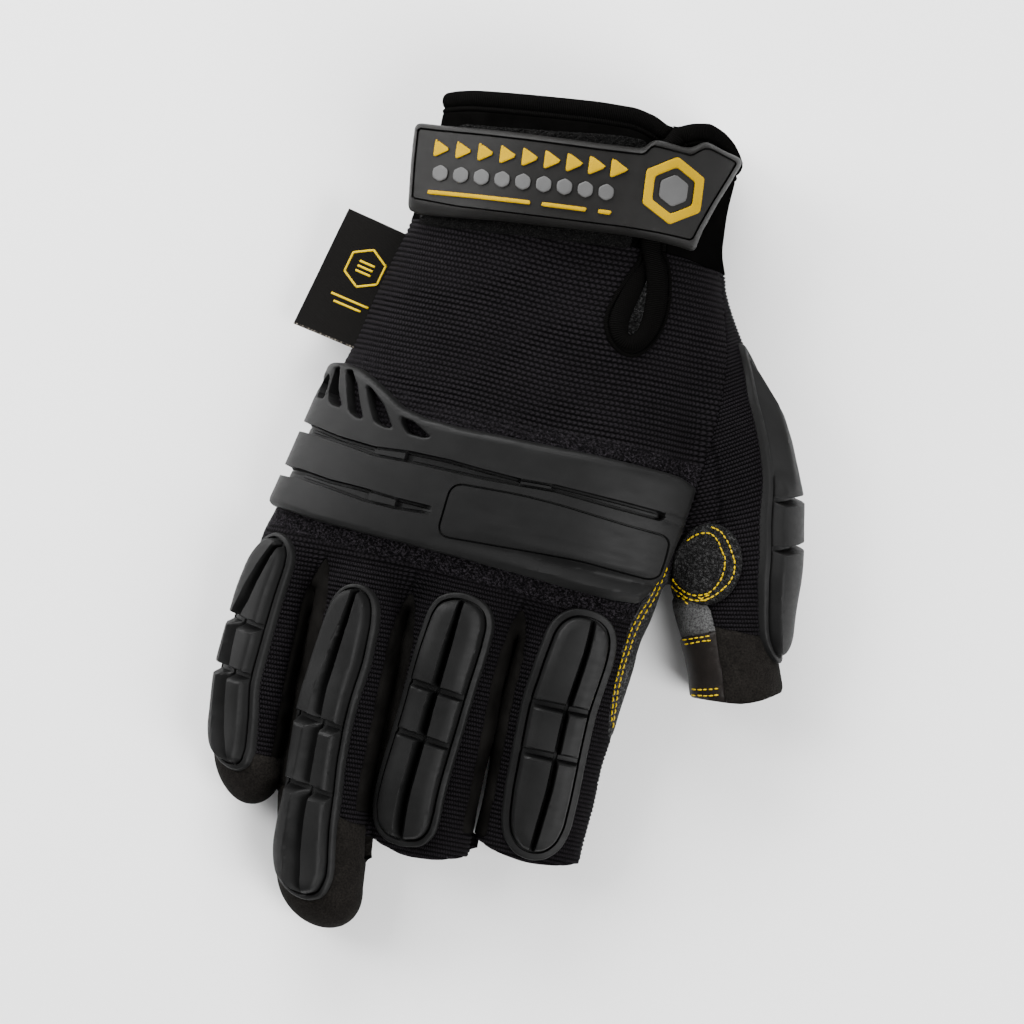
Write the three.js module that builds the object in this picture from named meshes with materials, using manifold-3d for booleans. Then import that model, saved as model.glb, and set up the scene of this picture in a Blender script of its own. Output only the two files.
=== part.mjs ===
// A heavy-duty rigger glove for the right hand, lying on its palm with the back of the hand up.
// Millimetres, +Z up. +X runs from the little finger to the thumb and +Y from the fingertips to the wrist.
// The index, middle and thumb stalls are open at the tip, the ring and little ones are closed.
// Every limb is a loft through sections that stand square to Y. The hand, fingers and thumb are hollow
// cloth, and the rubber guards, the patches and the closure tab lie on their outside.
import * as THREE from "three";
import { mergeVertices } from "three/addons/utils/BufferGeometryUtils.js";
import Module from "manifold-3d";

const wasm = await Module();
wasm.setup();

// Driving dimensions
const CLOTH_WALL = 1.8;
const CUFF_WALL = 2.6;
const GAP = 0.35; // air between pieces that touch on the real glove
const HAND_SIDES = { outside: 24, inside: 18 };
const LIMB_SIDES = { outside: 12, inside: 10 };
const BACK_POWER = 2.1; // superellipse power of the back of the hand
const PALM_POWER = 2.9; // squarer under the palm, where the glove lies on the table
const LIMB_POWER = 2.2;
const HIGH = 90; // a height above everything
const WIDE = 110; // past both sides
const LONG = 160; // past the fingertips
const WRIST_Y = 78; // the knitted hand ends and the neoprene cuff begins
const BINDING_WIDTH = 5.5; // bound edge round the mouth of the cuff
const BINDING_PROUD = 0.6;
const CENTRE = { x: 6.1, y: -4.4 }; // the middle of the finished glove's box, moved to the origin

// The hand from the mouth of the cuff to the finger roots. left, right and crown are X, and sideL, sideR,
// top and base are heights: of the widest point on each side, of the crown and of the underside.
const CUFF = [
  { y: 124, left: -43.2, right: 43.8, crown: 2, sideL: 20, sideR: 22, top: 46, base: -1.2 },
  { y: 96, left: -43.0, right: 42.4, crown: 2, sideL: 20, sideR: 22, top: 46, base: -1.2 },
  { y: WRIST_Y, left: -45.2, right: 44.2, crown: 4, sideL: 19, sideR: 22, top: 45.8, base: -1.2 },
];
const HAND = [
  CUFF[CUFF.length - 1],
  { y: 62, left: -48.8, right: 46.8, crown: 7, sideL: 18, sideR: 22, top: 44.8, base: -1.2 },
  { y: 44, left: -53.4, right: 48.8, crown: 11, sideL: 16, sideR: 21, top: 43.4, base: -1.2 },
  { y: 26, left: -57.4, right: 49.6, crown: 14, sideL: 14, sideR: 20, top: 42.4, base: -1.2 },
  { y: 8, left: -61.2, right: 49.0, crown: 16, sideL: 12, sideR: 20, top: 41.4, base: -1 },
  { y: -8, left: -64.6, right: 47.6, crown: 17, sideL: 11, sideR: 20, top: 39.6, base: 0.8 },
  { y: -18, left: -67.0, right: 46.0, crown: 16, sideL: 11, sideR: 20, top: 37.2, base: 3.5 },
  { y: -25, left: -67.0, right: 44.4, crown: 14, sideL: 12, sideR: 20, top: 33.0, base: 6.5 },
  { y: -31, left: -62.0, right: 41.0, crown: 12, sideL: 13, sideR: 19, top: 26.5, base: 10 },
];

// A finger section at y: its centre x and z, half width w, half thickness h, and turn, the lean of its
// back towards the little finger in degrees. tip is the closed dome past the last row: its length, and dx,
// how far it leans towards the thumb. end is the open hem, as [x, y] points seen from above.
const LITTLE = {
  tip: { length: 14, dx: 2.2 },
  rows: [
    { y: -6, x: -56, z: 13, w: 7.5, h: 6.5, turn: 32 },
    { y: -20, x: -58.2, z: 12.6, w: 10.2, h: 9.6, turn: 37 },
    { y: -38, x: -60.8, z: 12.2, w: 10.3, h: 9.7, turn: 41 },
    { y: -64, x: -61.7, z: 11.4, w: 10.3, h: 9.5, turn: 43 },
    { y: -84, x: -60.3, z: 10.4, w: 9.9, h: 9.2, turn: 41 },
  ],
};
const RING = {
  tip: { length: 13.5, dx: 3.4 },
  rows: [
    { y: -8, x: -37, z: 19, w: 10, h: 8, turn: 26 },
    { y: -20, x: -37.4, z: 19.3, w: 12.8, h: 11.3, turn: 30 },
    { y: -34, x: -37.0, z: 18.5, w: 14.0, h: 11.3, turn: 31 },
    { y: -60, x: -37.0, z: 16.0, w: 13.9, h: 10.9, turn: 32 },
    { y: -86, x: -36.7, z: 13.0, w: 13.6, h: 10.6, turn: 31 },
    { y: -97, x: -35.8, z: 11.7, w: 13.2, h: 10.5, turn: 29 },
    { y: -108, x: -32.4, z: 10.9, w: 14.5, h: 10.5, turn: 27 },
    { y: -115, x: -31.4, z: 10.5, w: 14.3, h: 10.4, turn: 26 },
  ],
};
const MIDDLE = {
  end: [[-24, -98], [-20, -100.3], [-10, -103], [0, -102.2], [8, -99.8], [10, -99]],
  rows: [
    { y: -8, x: -7.5, z: 22, w: 11, h: 9, turn: 10 },
    { y: -20, x: -7.5, z: 23.3, w: 13.8, h: 12, turn: 12 },
    { y: -34, x: -7.1, z: 21.7, w: 15.2, h: 12, turn: 13 },
    { y: -61, x: -6.9, z: 17.2, w: 15.0, h: 11.2, turn: 12 },
    { y: -88, x: -6.3, z: 12.6, w: 14.5, h: 10.5, turn: 11 },
    { y: -104, x: -5.9, z: 10.1, w: 14.3, h: 10.2, turn: 10 },
  ],
};
const INDEX = {
  end: [[6, -93], [10, -94], [14, -96], [25, -97.6], [35, -96.6], [42, -94.4]],
  rows: [
    { y: -8, x: 25.0, z: 22, w: 12, h: 9, turn: -4 },
    { y: -20, x: 27.0, z: 23.3, w: 16.0, h: 12, turn: -5 },
    { y: -34, x: 27.0, z: 21.5, w: 16.7, h: 12, turn: -6 },
    { y: -52, x: 25.0, z: 18.5, w: 16.3, h: 11.5, turn: -6 },
    { y: -80, x: 24.6, z: 13.5, w: 15.9, h: 10.8, turn: -5 },
    { y: -102, x: 24.4, z: 10.2, w: 15.6, h: 10.2, turn: -5 },
  ],
};
const THUMB = {
  end: [[50, -42.5], [60, -41.6], [70, -40.8], [75, -40.4], [81, -38.2], [90, -32.5]],
  rows: [
    { y: 76, x: 33.5, z: 21.0, w: 12.0, h: 10.0, turn: -55 },
    { y: 58, x: 44.4, z: 19.2, w: 12.7, h: 12.2, turn: -61 },
    { y: 42, x: 54.5, z: 17.7, w: 13.1, h: 12.7, turn: -62 },
    { y: 24, x: 62.6, z: 16.4, w: 13.4, h: 13.0, turn: -62 },
    { y: 8, x: 66.2, z: 15.5, w: 13.4, h: 13.2, turn: -62 },
    { y: -8, x: 67.0, z: 14.6, w: 13.4, h: 14.0, turn: -62 },
    { y: -22, x: 68.0, z: 13.8, w: 13.4, h: 14.0, turn: -62 },
    { y: -33, x: 71.6, z: 13.3, w: 13.3, h: 14.2, turn: -62 },
    { y: -46, x: 74.5, z: 13.0, w: 13.0, h: 14.0, turn: -62 },
  ],
};
// The web of cloth between the hand and the thumb, rounded off at the crotch
const WEB = {
  tip: { length: 7, dx: -2 },
  rows: [
    { y: 52, x: 44, z: 20, w: 6, h: 13, turn: -8 },
    { y: 30, x: 50, z: 18, w: 9, h: 13, turn: -8 },
    { y: 12, x: 53, z: 17, w: 10, h: 12, turn: -8 },
    { y: -2, x: 53, z: 16, w: 9, h: 10, turn: -6 },
  ],
};
const LIMBS = [LITTLE, RING, MIDDLE, INDEX, THUMB, WEB];
const DOME_STEPS = [30, 56, 80]; // degrees round the dome of a closed fingertip

// Plan curves, as [x, y] points seen from above
const MOUTH_EDGE = [
  [-60, 109.6], [-42.9, 110.5], [-40.5, 113.5], [-19.7, 116.5], [0, 118.4], [10.9, 118.9], [16.8, 117.8],
  [21.7, 115.5],
  [26.6, 118], [32.6, 119.4], [37.5, 118], [41.5, 115.1], [43.9, 111.5], [60, 110.5],
];
const THUMB_SEAM = [
  [44.0, 80], [47.5, 68], [50.5, 58], [52.0, 45], [51.2, 30], [50.0, 15], [48.8, 2], [48.2, -8],
  [48.6, -15], [50.0, -25], [53.0, -46],
];

// Small solids and cutting
function solid(geometry) {
  const bare = geometry.clone();
  bare.deleteAttribute("normal");
  bare.deleteAttribute("uv");
  const merged = mergeVertices(bare, 1e-4);
  const vertProperties = new Float32Array(merged.attributes.position.array);
  const triVerts = new Uint32Array(merged.index.array);
  return new wasm.Manifold(new wasm.Mesh({ numProp: 3, vertProperties, triVerts }));
}

// A closed loft through rings of equal length, with its faces outward whichever way the rings run
function loft(rings) {
  const made = closedLoft(rings);
  return made.volume() > 0 ? made : closedLoft(rings.map((ring) => [...ring].reverse()));
}

// Both ends are closed by a fan.
function closedLoft(rings) {
  const count = rings[0].length;
  const points = rings.flat();
  const faces = [];
  for (let r = 0; r + 1 < rings.length; r += 1) {
    for (let i = 0; i < count; i += 1) {
      const a = r * count + i;
      const b = r * count + ((i + 1) % count);
      faces.push(a, b, a + count, b, b + count, a + count);
    }
  }
  const firstHub = points.length;
  const lastHub = firstHub + 1;
  const lastRing = (rings.length - 1) * count;
  points.push(hub(rings[0]), hub(rings[rings.length - 1]));
  for (let i = 0; i < count; i += 1) {
    const next = (i + 1) % count;
    faces.push(firstHub, next, i);
    faces.push(lastHub, lastRing + i, lastRing + next);
  }
  const geometry = new THREE.BufferGeometry().setFromPoints(points);
  geometry.setIndex(faces);
  return solid(geometry);
}

function hub(ring) {
  const sum = new THREE.Vector3();
  ring.forEach((point) => sum.add(point));
  return sum.divideScalar(ring.length);
}

// An upright prism over a plan outline
function prism(outline, low, high) {
  const shape = new THREE.Shape(outline.map(([x, y]) => new THREE.Vector2(x, y)));
  const geometry = new THREE.ExtrudeGeometry(shape, { depth: high - low, bevelEnabled: false });
  geometry.translate(0, 0, low);
  return solid(geometry);
}

// An upright prism along a plan line
function strip(line, half) {
  return prism(
    [...line.map(([x, y]) => [x - half, y]).reverse(), ...line.map(([x, y]) => [x + half, y])],
    -20,
    HIGH,
  );
}

function block(low, high) {
  const size = high.map((value, i) => value - low[i]);
  const geometry = new THREE.BoxGeometry(...size);
  geometry.translate(...low.map((value, i) => value + size[i] / 2));
  return solid(geometry);
}

function union(solids) {
  return solids.reduce((sum, next) => sum.add(next));
}

// Splits a solid by a cutter made for a given growth, so that the two parts stand GAP apart.
function split(whole, cutter) {
  const inside = whole.intersect(cutter(-GAP / 2));
  const outside = whole.subtract(cutter(GAP / 2));
  return [inside, outside];
}

// Sections
function signedPower(value, power) {
  return Math.sign(value) * Math.abs(value) ** (2 / power);
}

function handPoint(row, angle, grow) {
  const c = Math.cos(angle);
  const s = Math.sin(angle);
  const power = s >= 0 ? BACK_POWER : PALM_POWER;
  const side = c >= 0 ? row.sideR : row.sideL;
  const reach = (c >= 0 ? row.right - row.crown : row.crown - row.left) + grow;
  const rise = (s >= 0 ? row.top - side : side - row.base) + grow;
  const x = row.crown + reach * signedPower(c, power);
  const z = side + rise * signedPower(s, power);
  return new THREE.Vector3(x, row.y, Math.max(z, -grow));
}

function handRing(row, grow) {
  const count = grow < 0 ? HAND_SIDES.inside : HAND_SIDES.outside;
  const step = (2 * Math.PI) / count;
  return Array.from({ length: count }, (_, i) => handPoint(row, i * step, grow));
}

// A point of a limb section: across runs towards the thumb, and up towards the back of the limb.
function limbPoint(row, across, up) {
  const turn = THREE.MathUtils.degToRad(row.turn);
  const x = row.x + across * Math.cos(turn) - up * Math.sin(turn);
  const z = row.z + across * Math.sin(turn) + up * Math.cos(turn);
  return new THREE.Vector3(x, row.y, z);
}

// A limb's section at any y, between its rows
function rowAt(limb, y) {
  const rows = limb.rows;
  const above = rows.findIndex((row) => row.y <= y);
  if (above < 0) {
    const last = rows[rows.length - 1];
    if (!limb.tip) return { ...last, y };
    const share = Math.min((last.y - y) / limb.tip.length, 0.9);
    return { ...last, y, x: last.x + limb.tip.dx * share, h: last.h * Math.sqrt(1 - share ** 2) };
  }
  const a = rows[Math.max(above - 1, 0)];
  const b = rows[above];
  const share = a === b ? 0 : (a.y - y) / (a.y - b.y);
  const mix = (key) => a[key] + (b[key] - a[key]) * share;
  return { y, x: mix("x"), z: mix("z"), w: mix("w"), h: mix("h"), turn: mix("turn") };
}

function limbRing(row, grow) {
  const count = grow < 0 ? LIMB_SIDES.inside : LIMB_SIDES.outside;
  const step = (2 * Math.PI) / count;
  return Array.from({ length: count }, (_, i) => {
    const across = (row.w + grow) * signedPower(Math.cos(i * step), LIMB_POWER);
    const up = (row.h + grow) * signedPower(Math.sin(i * step), LIMB_POWER);
    const point = limbPoint(row, across, up);
    point.z = Math.max(point.z, -grow);
    return point;
  });
}

// The rings of a limb, with the dome of a closed tip
function limbRings(limb, grow) {
  const rings = limb.rows.map((row) => limbRing(row, grow));
  if (!limb.tip) return rings;
  const last = limb.rows[limb.rows.length - 1];
  DOME_STEPS.forEach((degrees) => {
    const angle = THREE.MathUtils.degToRad(degrees);
    const share = Math.sin(angle);
    const scale = Math.cos(angle);
    const row = {
      ...last,
      y: last.y - (limb.tip.length + grow) * share,
      x: last.x + limb.tip.dx * share,
      w: (last.w + grow) * scale - grow,
      h: (last.h + grow) * scale - grow,
    };
    rings.push(limbRing(row, grow));
  });
  return rings;
}

// The whole outside of the glove, grown by a thickness
function hull(grow) {
  const hand = [...CUFF, ...HAND.slice(1)].map((row) => handRing(row, grow));
  const limbs = LIMBS.map((limb) => {
    const whole = loft(limbRings(limb, grow));
    return limb.end ? whole.subtract(beyond(limb.end)) : whole;
  });
  return union([loft(hand), ...limbs]);
}

function cavity() {
  const cuff = loft(CUFF.map((row) => handRing(row, -CUFF_WALL)));
  const hand = loft(HAND.map((row) => handRing(row, -CLOTH_WALL)));
  return union([cuff, hand, ...LIMBS.map((limb) => loft(limbRings(limb, -CLOTH_WALL)))]);
}

// Everything on the wrist side of an edge line, moved back from it
function behind(edge, back) {
  const moved = edge.map(([x, y]) => [x, y - back]);
  const first = moved[0];
  const last = moved[moved.length - 1];
  return prism([[-WIDE, first[1]], ...moved, [WIDE, last[1]], [WIDE, -LONG], [-WIDE, -LONG]], -20, HIGH);
}

// Everything past the end line of an open finger
function beyond(edge) {
  const last = edge[edge.length - 1];
  return prism([[edge[0][0], -150], [last[0], -150], ...[...edge].reverse()], -20, HIGH);
}

const shell = hull(0).subtract(cavity());
const clearOfGlove = hull(GAP);

// The pieces, each as { name, solid, material }
const MATERIALS = {
  knit: new THREE.MeshStandardMaterial({ color: 0x131214, roughness: 0.9, metalness: 0 }),
  stretch: new THREE.MeshStandardMaterial({ color: 0x0e0d0e, roughness: 0.8, metalness: 0 }),
  neoprene: new THREE.MeshStandardMaterial({ color: 0x121212, roughness: 0.75, metalness: 0 }),
  leather: new THREE.MeshStandardMaterial({ color: 0x232323, roughness: 0.85, metalness: 0 }),
  suede: new THREE.MeshStandardMaterial({ color: 0x161412, roughness: 0.95, metalness: 0 }),
  greySuede: new THREE.MeshStandardMaterial({ color: 0x5a5a5a, roughness: 0.95, metalness: 0 }),
  rubber: new THREE.MeshStandardMaterial({ color: 0x2b2c2c, roughness: 0.5, metalness: 0 }),
  pile: new THREE.MeshStandardMaterial({ color: 0x0f0f0f, roughness: 1, metalness: 0 }),
  label: new THREE.MeshStandardMaterial({ color: 0x15130f, roughness: 0.9, metalness: 0 }),
};
const pieces = [];
function add(name, made, material) {
  pieces.push({ name, made, material });
}

// Cuff, its bound mouth and the slit down its back that ends in the keyhole
const SLIT_WIDTH = 0.9;
const SLIT = [[22.2, 130], [22.6, 100], [23.6, 80], [23.9, 66]];
const slit = strip(SLIT, SLIT_WIDTH / 2).intersect(block([-WIDE, 0, 25], [WIDE, LONG, HIGH]));
const wristward = block([-90, WRIST_Y + GAP / 2, -20], [90, 140, HIGH]);
const cuffZone = behind(MOUTH_EDGE, BINDING_WIDTH + GAP).intersect(wristward);
add("cuff", shell.intersect(cuffZone).subtract(slit), "neoprene");
const bindingZone = behind(MOUTH_EDGE, 0).subtract(behind(MOUTH_EDGE, BINDING_WIDTH));
const bindingRing = hull(BINDING_PROUD).subtract(
  loft(CUFF.map((row) => handRing(row, -CUFF_WALL - BINDING_PROUD))),
);
const aboveTable = block([-100, -160, 0], [110, 140, HIGH]);
add("cuff_binding", bindingRing.intersect(bindingZone).subtract(slit).intersect(aboveTable), "neoprene");

// Keyhole: a teardrop in the back of the hand, bound with a wide tape
const KEYHOLE = { x: 23.9, y: 59.2, radius: 8.3, topX: 25.3, topY: 88, topHalf: 6.4 };
function teardrop(inset) {
  const radius = KEYHOLE.radius - inset;
  const half = KEYHOLE.topHalf - inset;
  const points = [[KEYHOLE.topX + half, KEYHOLE.topY + inset]];
  points.push([KEYHOLE.topX - half, KEYHOLE.topY + inset]);
  for (let degrees = 170; degrees <= 372; degrees += 22.5) {
    const angle = THREE.MathUtils.degToRad(degrees);
    points.push([KEYHOLE.x + radius * Math.cos(angle), KEYHOLE.y + radius * Math.sin(angle)]);
  }
  return points;
}
const SLOT = [
  [24.6, 90], [23.2, 90], [22.9, 70], [21.6, 57], [22.6, 54.2], [24.6, 55], [25.4, 60], [25.3, 70],
];
const KEYHOLE_PROUD = 2.3;
const KEYHOLE_HEM = 3.6; // the opening in the knit lies this far inside the outline of its binding
const keyholeBand = hull(KEYHOLE_PROUD).subtract(clearOfGlove).intersect(prism(teardrop(0), 25, HIGH));
add("keyhole_binding", keyholeBand.subtract(prism(SLOT, 25, HIGH)), "neoprene");

// Loop patch on the left of the cuff, under the closure tab
const LOOP_PATCH = [[-41, 75.4], [17.3, 80.9], [18.3, 110.5], [-40, 105.1]];
const PATCH_PROUD = 2.0;
add(
  "loop_patch",
  hull(PATCH_PROUD).subtract(clearOfGlove).intersect(prism(LOOP_PATCH, 25, HIGH)),
  "pile",
);

// Closure tab: one bar of moulded rubber over the back of the wrist. It follows the cuff, and its free end
// runs straight on past the little finger side. Rows give its lower and upper edge at x.
const TAB_LIFT = 2.9;
const TAB_THICK = 3.0;
const TAB_RECESS = 0.8;
const TAB_RIM = 1.8;
const TAB_STRAIGHT_X = -33; // left of this the tab leaves the cuff and runs straight
const TAB = [
  { x: -48.8, low: 78.5, high: 101.9 },
  { x: -43, low: 77.2, high: 103 },
  { x: -32.6, low: 78.1, high: 104 },
  { x: -19.7, low: 79.6, high: 105.1 },
  { x: -7.9, low: 80.7, high: 105.8 },
  { x: 3, low: 81.7, high: 106.4 },
  { x: 13.3, low: 82.7, high: 107.4 },
  { x: 17.3, low: 83.1, high: 110.5 },
  { x: 27.1, low: 83.2, high: 110.9 },
  { x: 31.1, low: 83, high: 113.3 },
  { x: 35.5, low: 82.9, high: 112.5 },
  { x: 38, low: 93.8, high: 111.9 },
  { x: 41, low: 107.6, high: 110.9 },
];
const TAB_ROW = CUFF[1];
function cuffTop(x) {
  const reach = x >= TAB_ROW.crown ? TAB_ROW.right - TAB_ROW.crown : TAB_ROW.crown - TAB_ROW.left;
  const side = x >= TAB_ROW.crown ? TAB_ROW.sideR : TAB_ROW.sideL;
  const share = Math.min(Math.abs(x - TAB_ROW.crown) / (reach + TAB_LIFT), 1);
  return side + (TAB_ROW.top + TAB_LIFT - side) * (1 - share ** BACK_POWER) ** (1 / BACK_POWER);
}
function tabHeight(x) {
  if (x >= TAB_STRAIGHT_X) return cuffTop(x);
  const slope = cuffTop(TAB_STRAIGHT_X + 0.5) - cuffTop(TAB_STRAIGHT_X - 0.5);
  return cuffTop(TAB_STRAIGHT_X) + slope * (x - TAB_STRAIGHT_X);
}
function tabSlab(inset, low, high) {
  const rows = TAB.filter((row) => row.high - row.low > 2 * inset + 1);
  const first = rows[0];
  const last = rows[rows.length - 1];
  const rings = rows.map((row) => {
    const x = row.x + (row === first ? inset : 0) - (row === last ? inset : 0);
    const z = tabHeight(x);
    const y0 = row.low + inset;
    const y1 = row.high - inset;
    return [
      new THREE.Vector3(x, y0, z + low),
      new THREE.Vector3(x, y0, z + high),
      new THREE.Vector3(x, y1, z + high),
      new THREE.Vector3(x, y1, z + low),
    ];
  });
  return loft(rings);
}
const tabRecess = tabSlab(TAB_RIM, TAB_THICK - TAB_RECESS, TAB_THICK + 2);
add("closure_tab", tabSlab(0, 0, TAB_THICK).subtract(tabRecess), "rubber");

// The knitted and leather panels, cut from the shell along their seams
const knuckleward = block([-90, -160, -20], [110, WRIST_Y - GAP / 2, HIGH]);
const hand = shell.intersect(knuckleward);

// The sewn line between the back and the palm runs a little under the middle of each finger, and along the
// side of the hand at SEAM_SIDE.
const SEAM_SIDE = 14.5;
const SEAM_DROP = 1;
const SEAM_ROWS = [90, -12, -34, -60, -86, -114, -LONG];
function aboveSeam(grow) {
  const fingers = [LITTLE, RING, MIDDLE, INDEX];
  const rings = SEAM_ROWS.map((y) => {
    const places = fingers.map((limb) => rowAt(limb, Math.max(y, limb.rows[limb.rows.length - 1].y)));
    const heights = places.map((row) => (y > -20 ? SEAM_SIDE : row.z - SEAM_DROP) - grow);
    const edge = places.map((row, i) => new THREE.Vector3(row.x, y, heights[i]));
    const first = heights[0];
    const last = heights[heights.length - 1];
    return [
      new THREE.Vector3(-WIDE, y, HIGH),
      new THREE.Vector3(-WIDE, y, first),
      ...edge,
      new THREE.Vector3(WIDE, y, last),
      new THREE.Vector3(WIDE, y, HIGH),
    ];
  });
  return loft(rings);
}

function thumbSide(grow) {
  const edge = THUMB_SEAM.map(([x, y]) => [x - grow, y]);
  return prism([...edge, [110, -46], [110, 80]], -20, HIGH);
}

// The part of a finger past a seam. The last points of the seam run down beside the finger.
function tipZone(seam) {
  return (grow) => {
    const moved = seam.map(([x, y]) => [x, y + grow]);
    return prism([[moved[0][0], -LONG], [moved[moved.length - 1][0], -LONG], ...moved.reverse()], -20, HIGH);
  };
}
const RING_TIP_SEAM = [[-50.3, -89], [-21.9, -79], [-21.7, -100], [-15, -104]];
const LITTLE_TIP_SEAM = [[-90, -83], [-50.2, -83], [-50.2, -92], [-48.5, -98]];

// The palm side of the thumb: below PALMAR in the thumb's own frame
const PALMAR = -2.5;
const FAR = 40;
function thumbPalmSide(grow) {
  const rows = [{ ...THUMB.rows[0], y: 90 }, ...THUMB.rows.slice(1)];
  const corners = [[-FAR, PALMAR + grow], [FAR, PALMAR + grow], [FAR, -FAR], [-FAR, -FAR]];
  return loft(rows.map((row) => corners.map(([u, v]) => limbPoint(row, u, v))));
}

// Side walls between two fingers, as strips along the gap
const FOURCHETTE_HALF = 4.4;
const FOURCHETTES = {
  fourchette_little_ring: [[-51.6, -24], [-51.4, -50], [-50.4, -70], [-48.6, -100]],
  fourchette_ring_middle: [[-23.2, -27], [-22.9, -55], [-22.4, -80], [-20.8, -105]],
  fourchette_middle_index: [[9.6, -27], [8.2, -55], [8.2, -80], [8.3, -108]],
};

const [thumb, fingers] = split(hand, thumbSide);
const [ringTip, withoutRingTip] = split(fingers, tipZone(RING_TIP_SEAM));
const [littleTip, panels] = split(withoutRingTip, tipZone(LITTLE_TIP_SEAM));
const [upper, lower] = split(panels, aboveSeam);
add("palm_panel", lower, "leather");
add("ring_fingertip", ringTip, "suede");
add("little_fingertip", littleTip, "suede");
let back = upper;
Object.entries(FOURCHETTES).forEach(([name, line]) => {
  const [walls, rest] = split(back, (grow) => strip(line, FOURCHETTE_HALF + grow));
  add(name, walls, "stretch");
  back = rest;
});
const keyholeCut = prism(teardrop(KEYHOLE_HEM), 25, HIGH);
add("back_panel", back.subtract(keyholeCut), "knit");

const THUMB_TIP_Y = -20;
const GREY_FROM_Y = -14.5;
const GREY_TO_Y = -23.2;
const [thumbPalm, thumbBack] = split(thumb, thumbPalmSide);
const acrossThumb = (y) => tipZone([[40, y], [WIDE, y]]);
const [thumbTip, thumbKnit] = split(thumbBack, acrossThumb(THUMB_TIP_Y));
const [thumbLower, thumbLeather] = split(thumbPalm, acrossThumb(GREY_FROM_Y));
const [thumbHem, greyPatch] = split(thumbLower, acrossThumb(GREY_TO_Y));
add("thumb_panel", thumbKnit, "knit");
add("thumb_tip", thumbTip, "suede");
add("thumb_palm", thumbLeather, "leather");
add("thumb_grey_patch", greyPatch, "greySuede");
add("thumb_hem_patch", thumbHem, "leather");

// Leather patch over the crotch of the thumb
const CROTCH_PATCH = { x: 57.6, y: -3, halfX: 9.9, halfY: 11.8, proud: 1.5 };
function oval({ x, y, halfX, halfY }) {
  return Array.from({ length: 20 }, (_, i) => {
    const angle = (i * Math.PI) / 10;
    return [x + halfX * Math.cos(angle), y + halfY * Math.sin(angle)];
  });
}
const patchSkin = hull(CROTCH_PATCH.proud).subtract(clearOfGlove);
add("crotch_patch", patchSkin.intersect(prism(oval(CROTCH_PATCH), 16, HIGH)), "leather");

// Knuckle guard: one moulded plate over all four knuckles, with long grooves and open vents
const GUARD_PROUD = 3.6;
const GUARD_GROOVE_FLOOR = 2.0;
const GUARD_LOW_Z = 8; // how far down it reaches on the little finger's side
const GUARD_THUMB_Z = 22; // and on the thumb's side
const GUARD_OUTLINE = [
  [-80, -11], [-66, -13.2], [-55, -15.2], [-40, -16.4], [-25, -16.7], [-10, -16.6], [5, -17.2], [20, -18.2],
  [33, -18.8], [40.5, -19], [43.5, -14], [46, -6], [48, 4], [49.6, 18.2], [45, 20], [38, 20.6], [20, 21.2],
  [0, 21.3], [-20, 21.4], [-30, 21.6], [-37, 23], [-43, 27], [-50, 31], [-56, 32.6], [-66, 31], [-80, 29],
];
const GUARD_GROOVES = [
  [
    [-80, 12], [-62, 11], [-50, 9.2], [-42, 8.4], [-38, 8.2], [-38, 11.5], [-46, 12.4], [-62, 14.2],
    [-80, 15],
  ],
  [[-31.5, 7.9], [-15, 7.4], [1, 7.4], [1, 10.5], [-15, 10.9], [-31.5, 11.2]],
  [[10, 7.3], [25, 6.8], [41, 6], [42, 8.8], [30, 10], [10, 10.5]],
  [[-80, -2], [-64, -3.2], [-50, -5], [-38, -5.6], [-38, -2.5], [-50, -1.4], [-64, 0.4], [-80, 1]],
  [[-33, -5.9], [-23, -5.9], [-23, -2.9], [-33, -2.5]],
];
const GUARD_VENTS = [
  [[-60.2, 20.2], [-59.2, 20.2], [-57.2, 28.5], [-58.4, 27.5]],
  [[-56.8, 20], [-54, 19], [-56.2, 30], [-58, 28.6]],
  [[-51, 18], [-47.6, 17.4], [-51.2, 28.6], [-54.6, 30.2]],
  [[-44, 16.4], [-38.6, 15.8], [-41.6, 23], [-47.6, 26.6]],
  [[-35, 15.6], [-28, 15.2], [-33, 19.4], [-37.6, 20.6]],
];
const guardSkin = hull(GUARD_PROUD).subtract(clearOfGlove);
const grooveSkin = hull(GUARD_PROUD + 2).subtract(hull(GUARD_GROOVE_FLOOR));
const grooves = union(GUARD_GROOVES.map((outline) => prism(outline, 0, HIGH))).intersect(grooveSkin);
const vents = union(GUARD_VENTS.map((outline) => prism(outline, 0, HIGH)));
add(
  "knuckle_guard",
  guardSkin
    .intersect(prism(GUARD_OUTLINE, GUARD_LOW_Z, HIGH))
    .subtract(block([0, -LONG, 0], [WIDE, LONG, GUARD_THUMB_Z]))
    .subtract(grooves)
    .subtract(vents),
  "rubber",
);

// Finger guards: a flat rim round two rows of blocks, with a valley between the rows and two cross cuts.
// from and to are the Y of the guard's ends, cuts the Y of the cross cuts, and half its half width.
const RIM_WIDTH = 2.2;
const RIM_HEIGHT = 1.7;
const BLOCK_HEIGHT = 5.6;
const BLOCK_BEVEL = 1.1;
const VALLEY_HALF = 1.0;
const VALLEY_HEIGHT = 2.2;
const CUT_HALF = 1.0;
const END_SHARES = [0.1, 0.35, 0.7, 1];
const GUARDS = {
  little_guard: { limb: LITTLE, from: -19.5, to: -89, cuts: [-45.5, -60.8], half: 9.2 },
  ring_guard: { limb: RING, from: -29, to: -121, cuts: [-69.5, -88], half: 11.4 },
  middle_guard: { limb: MIDDLE, from: -25.2, to: -101, cuts: [-54, -68.4], half: 10.4 },
  index_guard: { limb: INDEX, from: -22.4, to: -97, cuts: [-52, -66], half: 11.0 },
  thumb_guard: { limb: THUMB, from: 62, to: -27.5, cuts: [22.2, 8], half: 10.6 },
};

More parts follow.
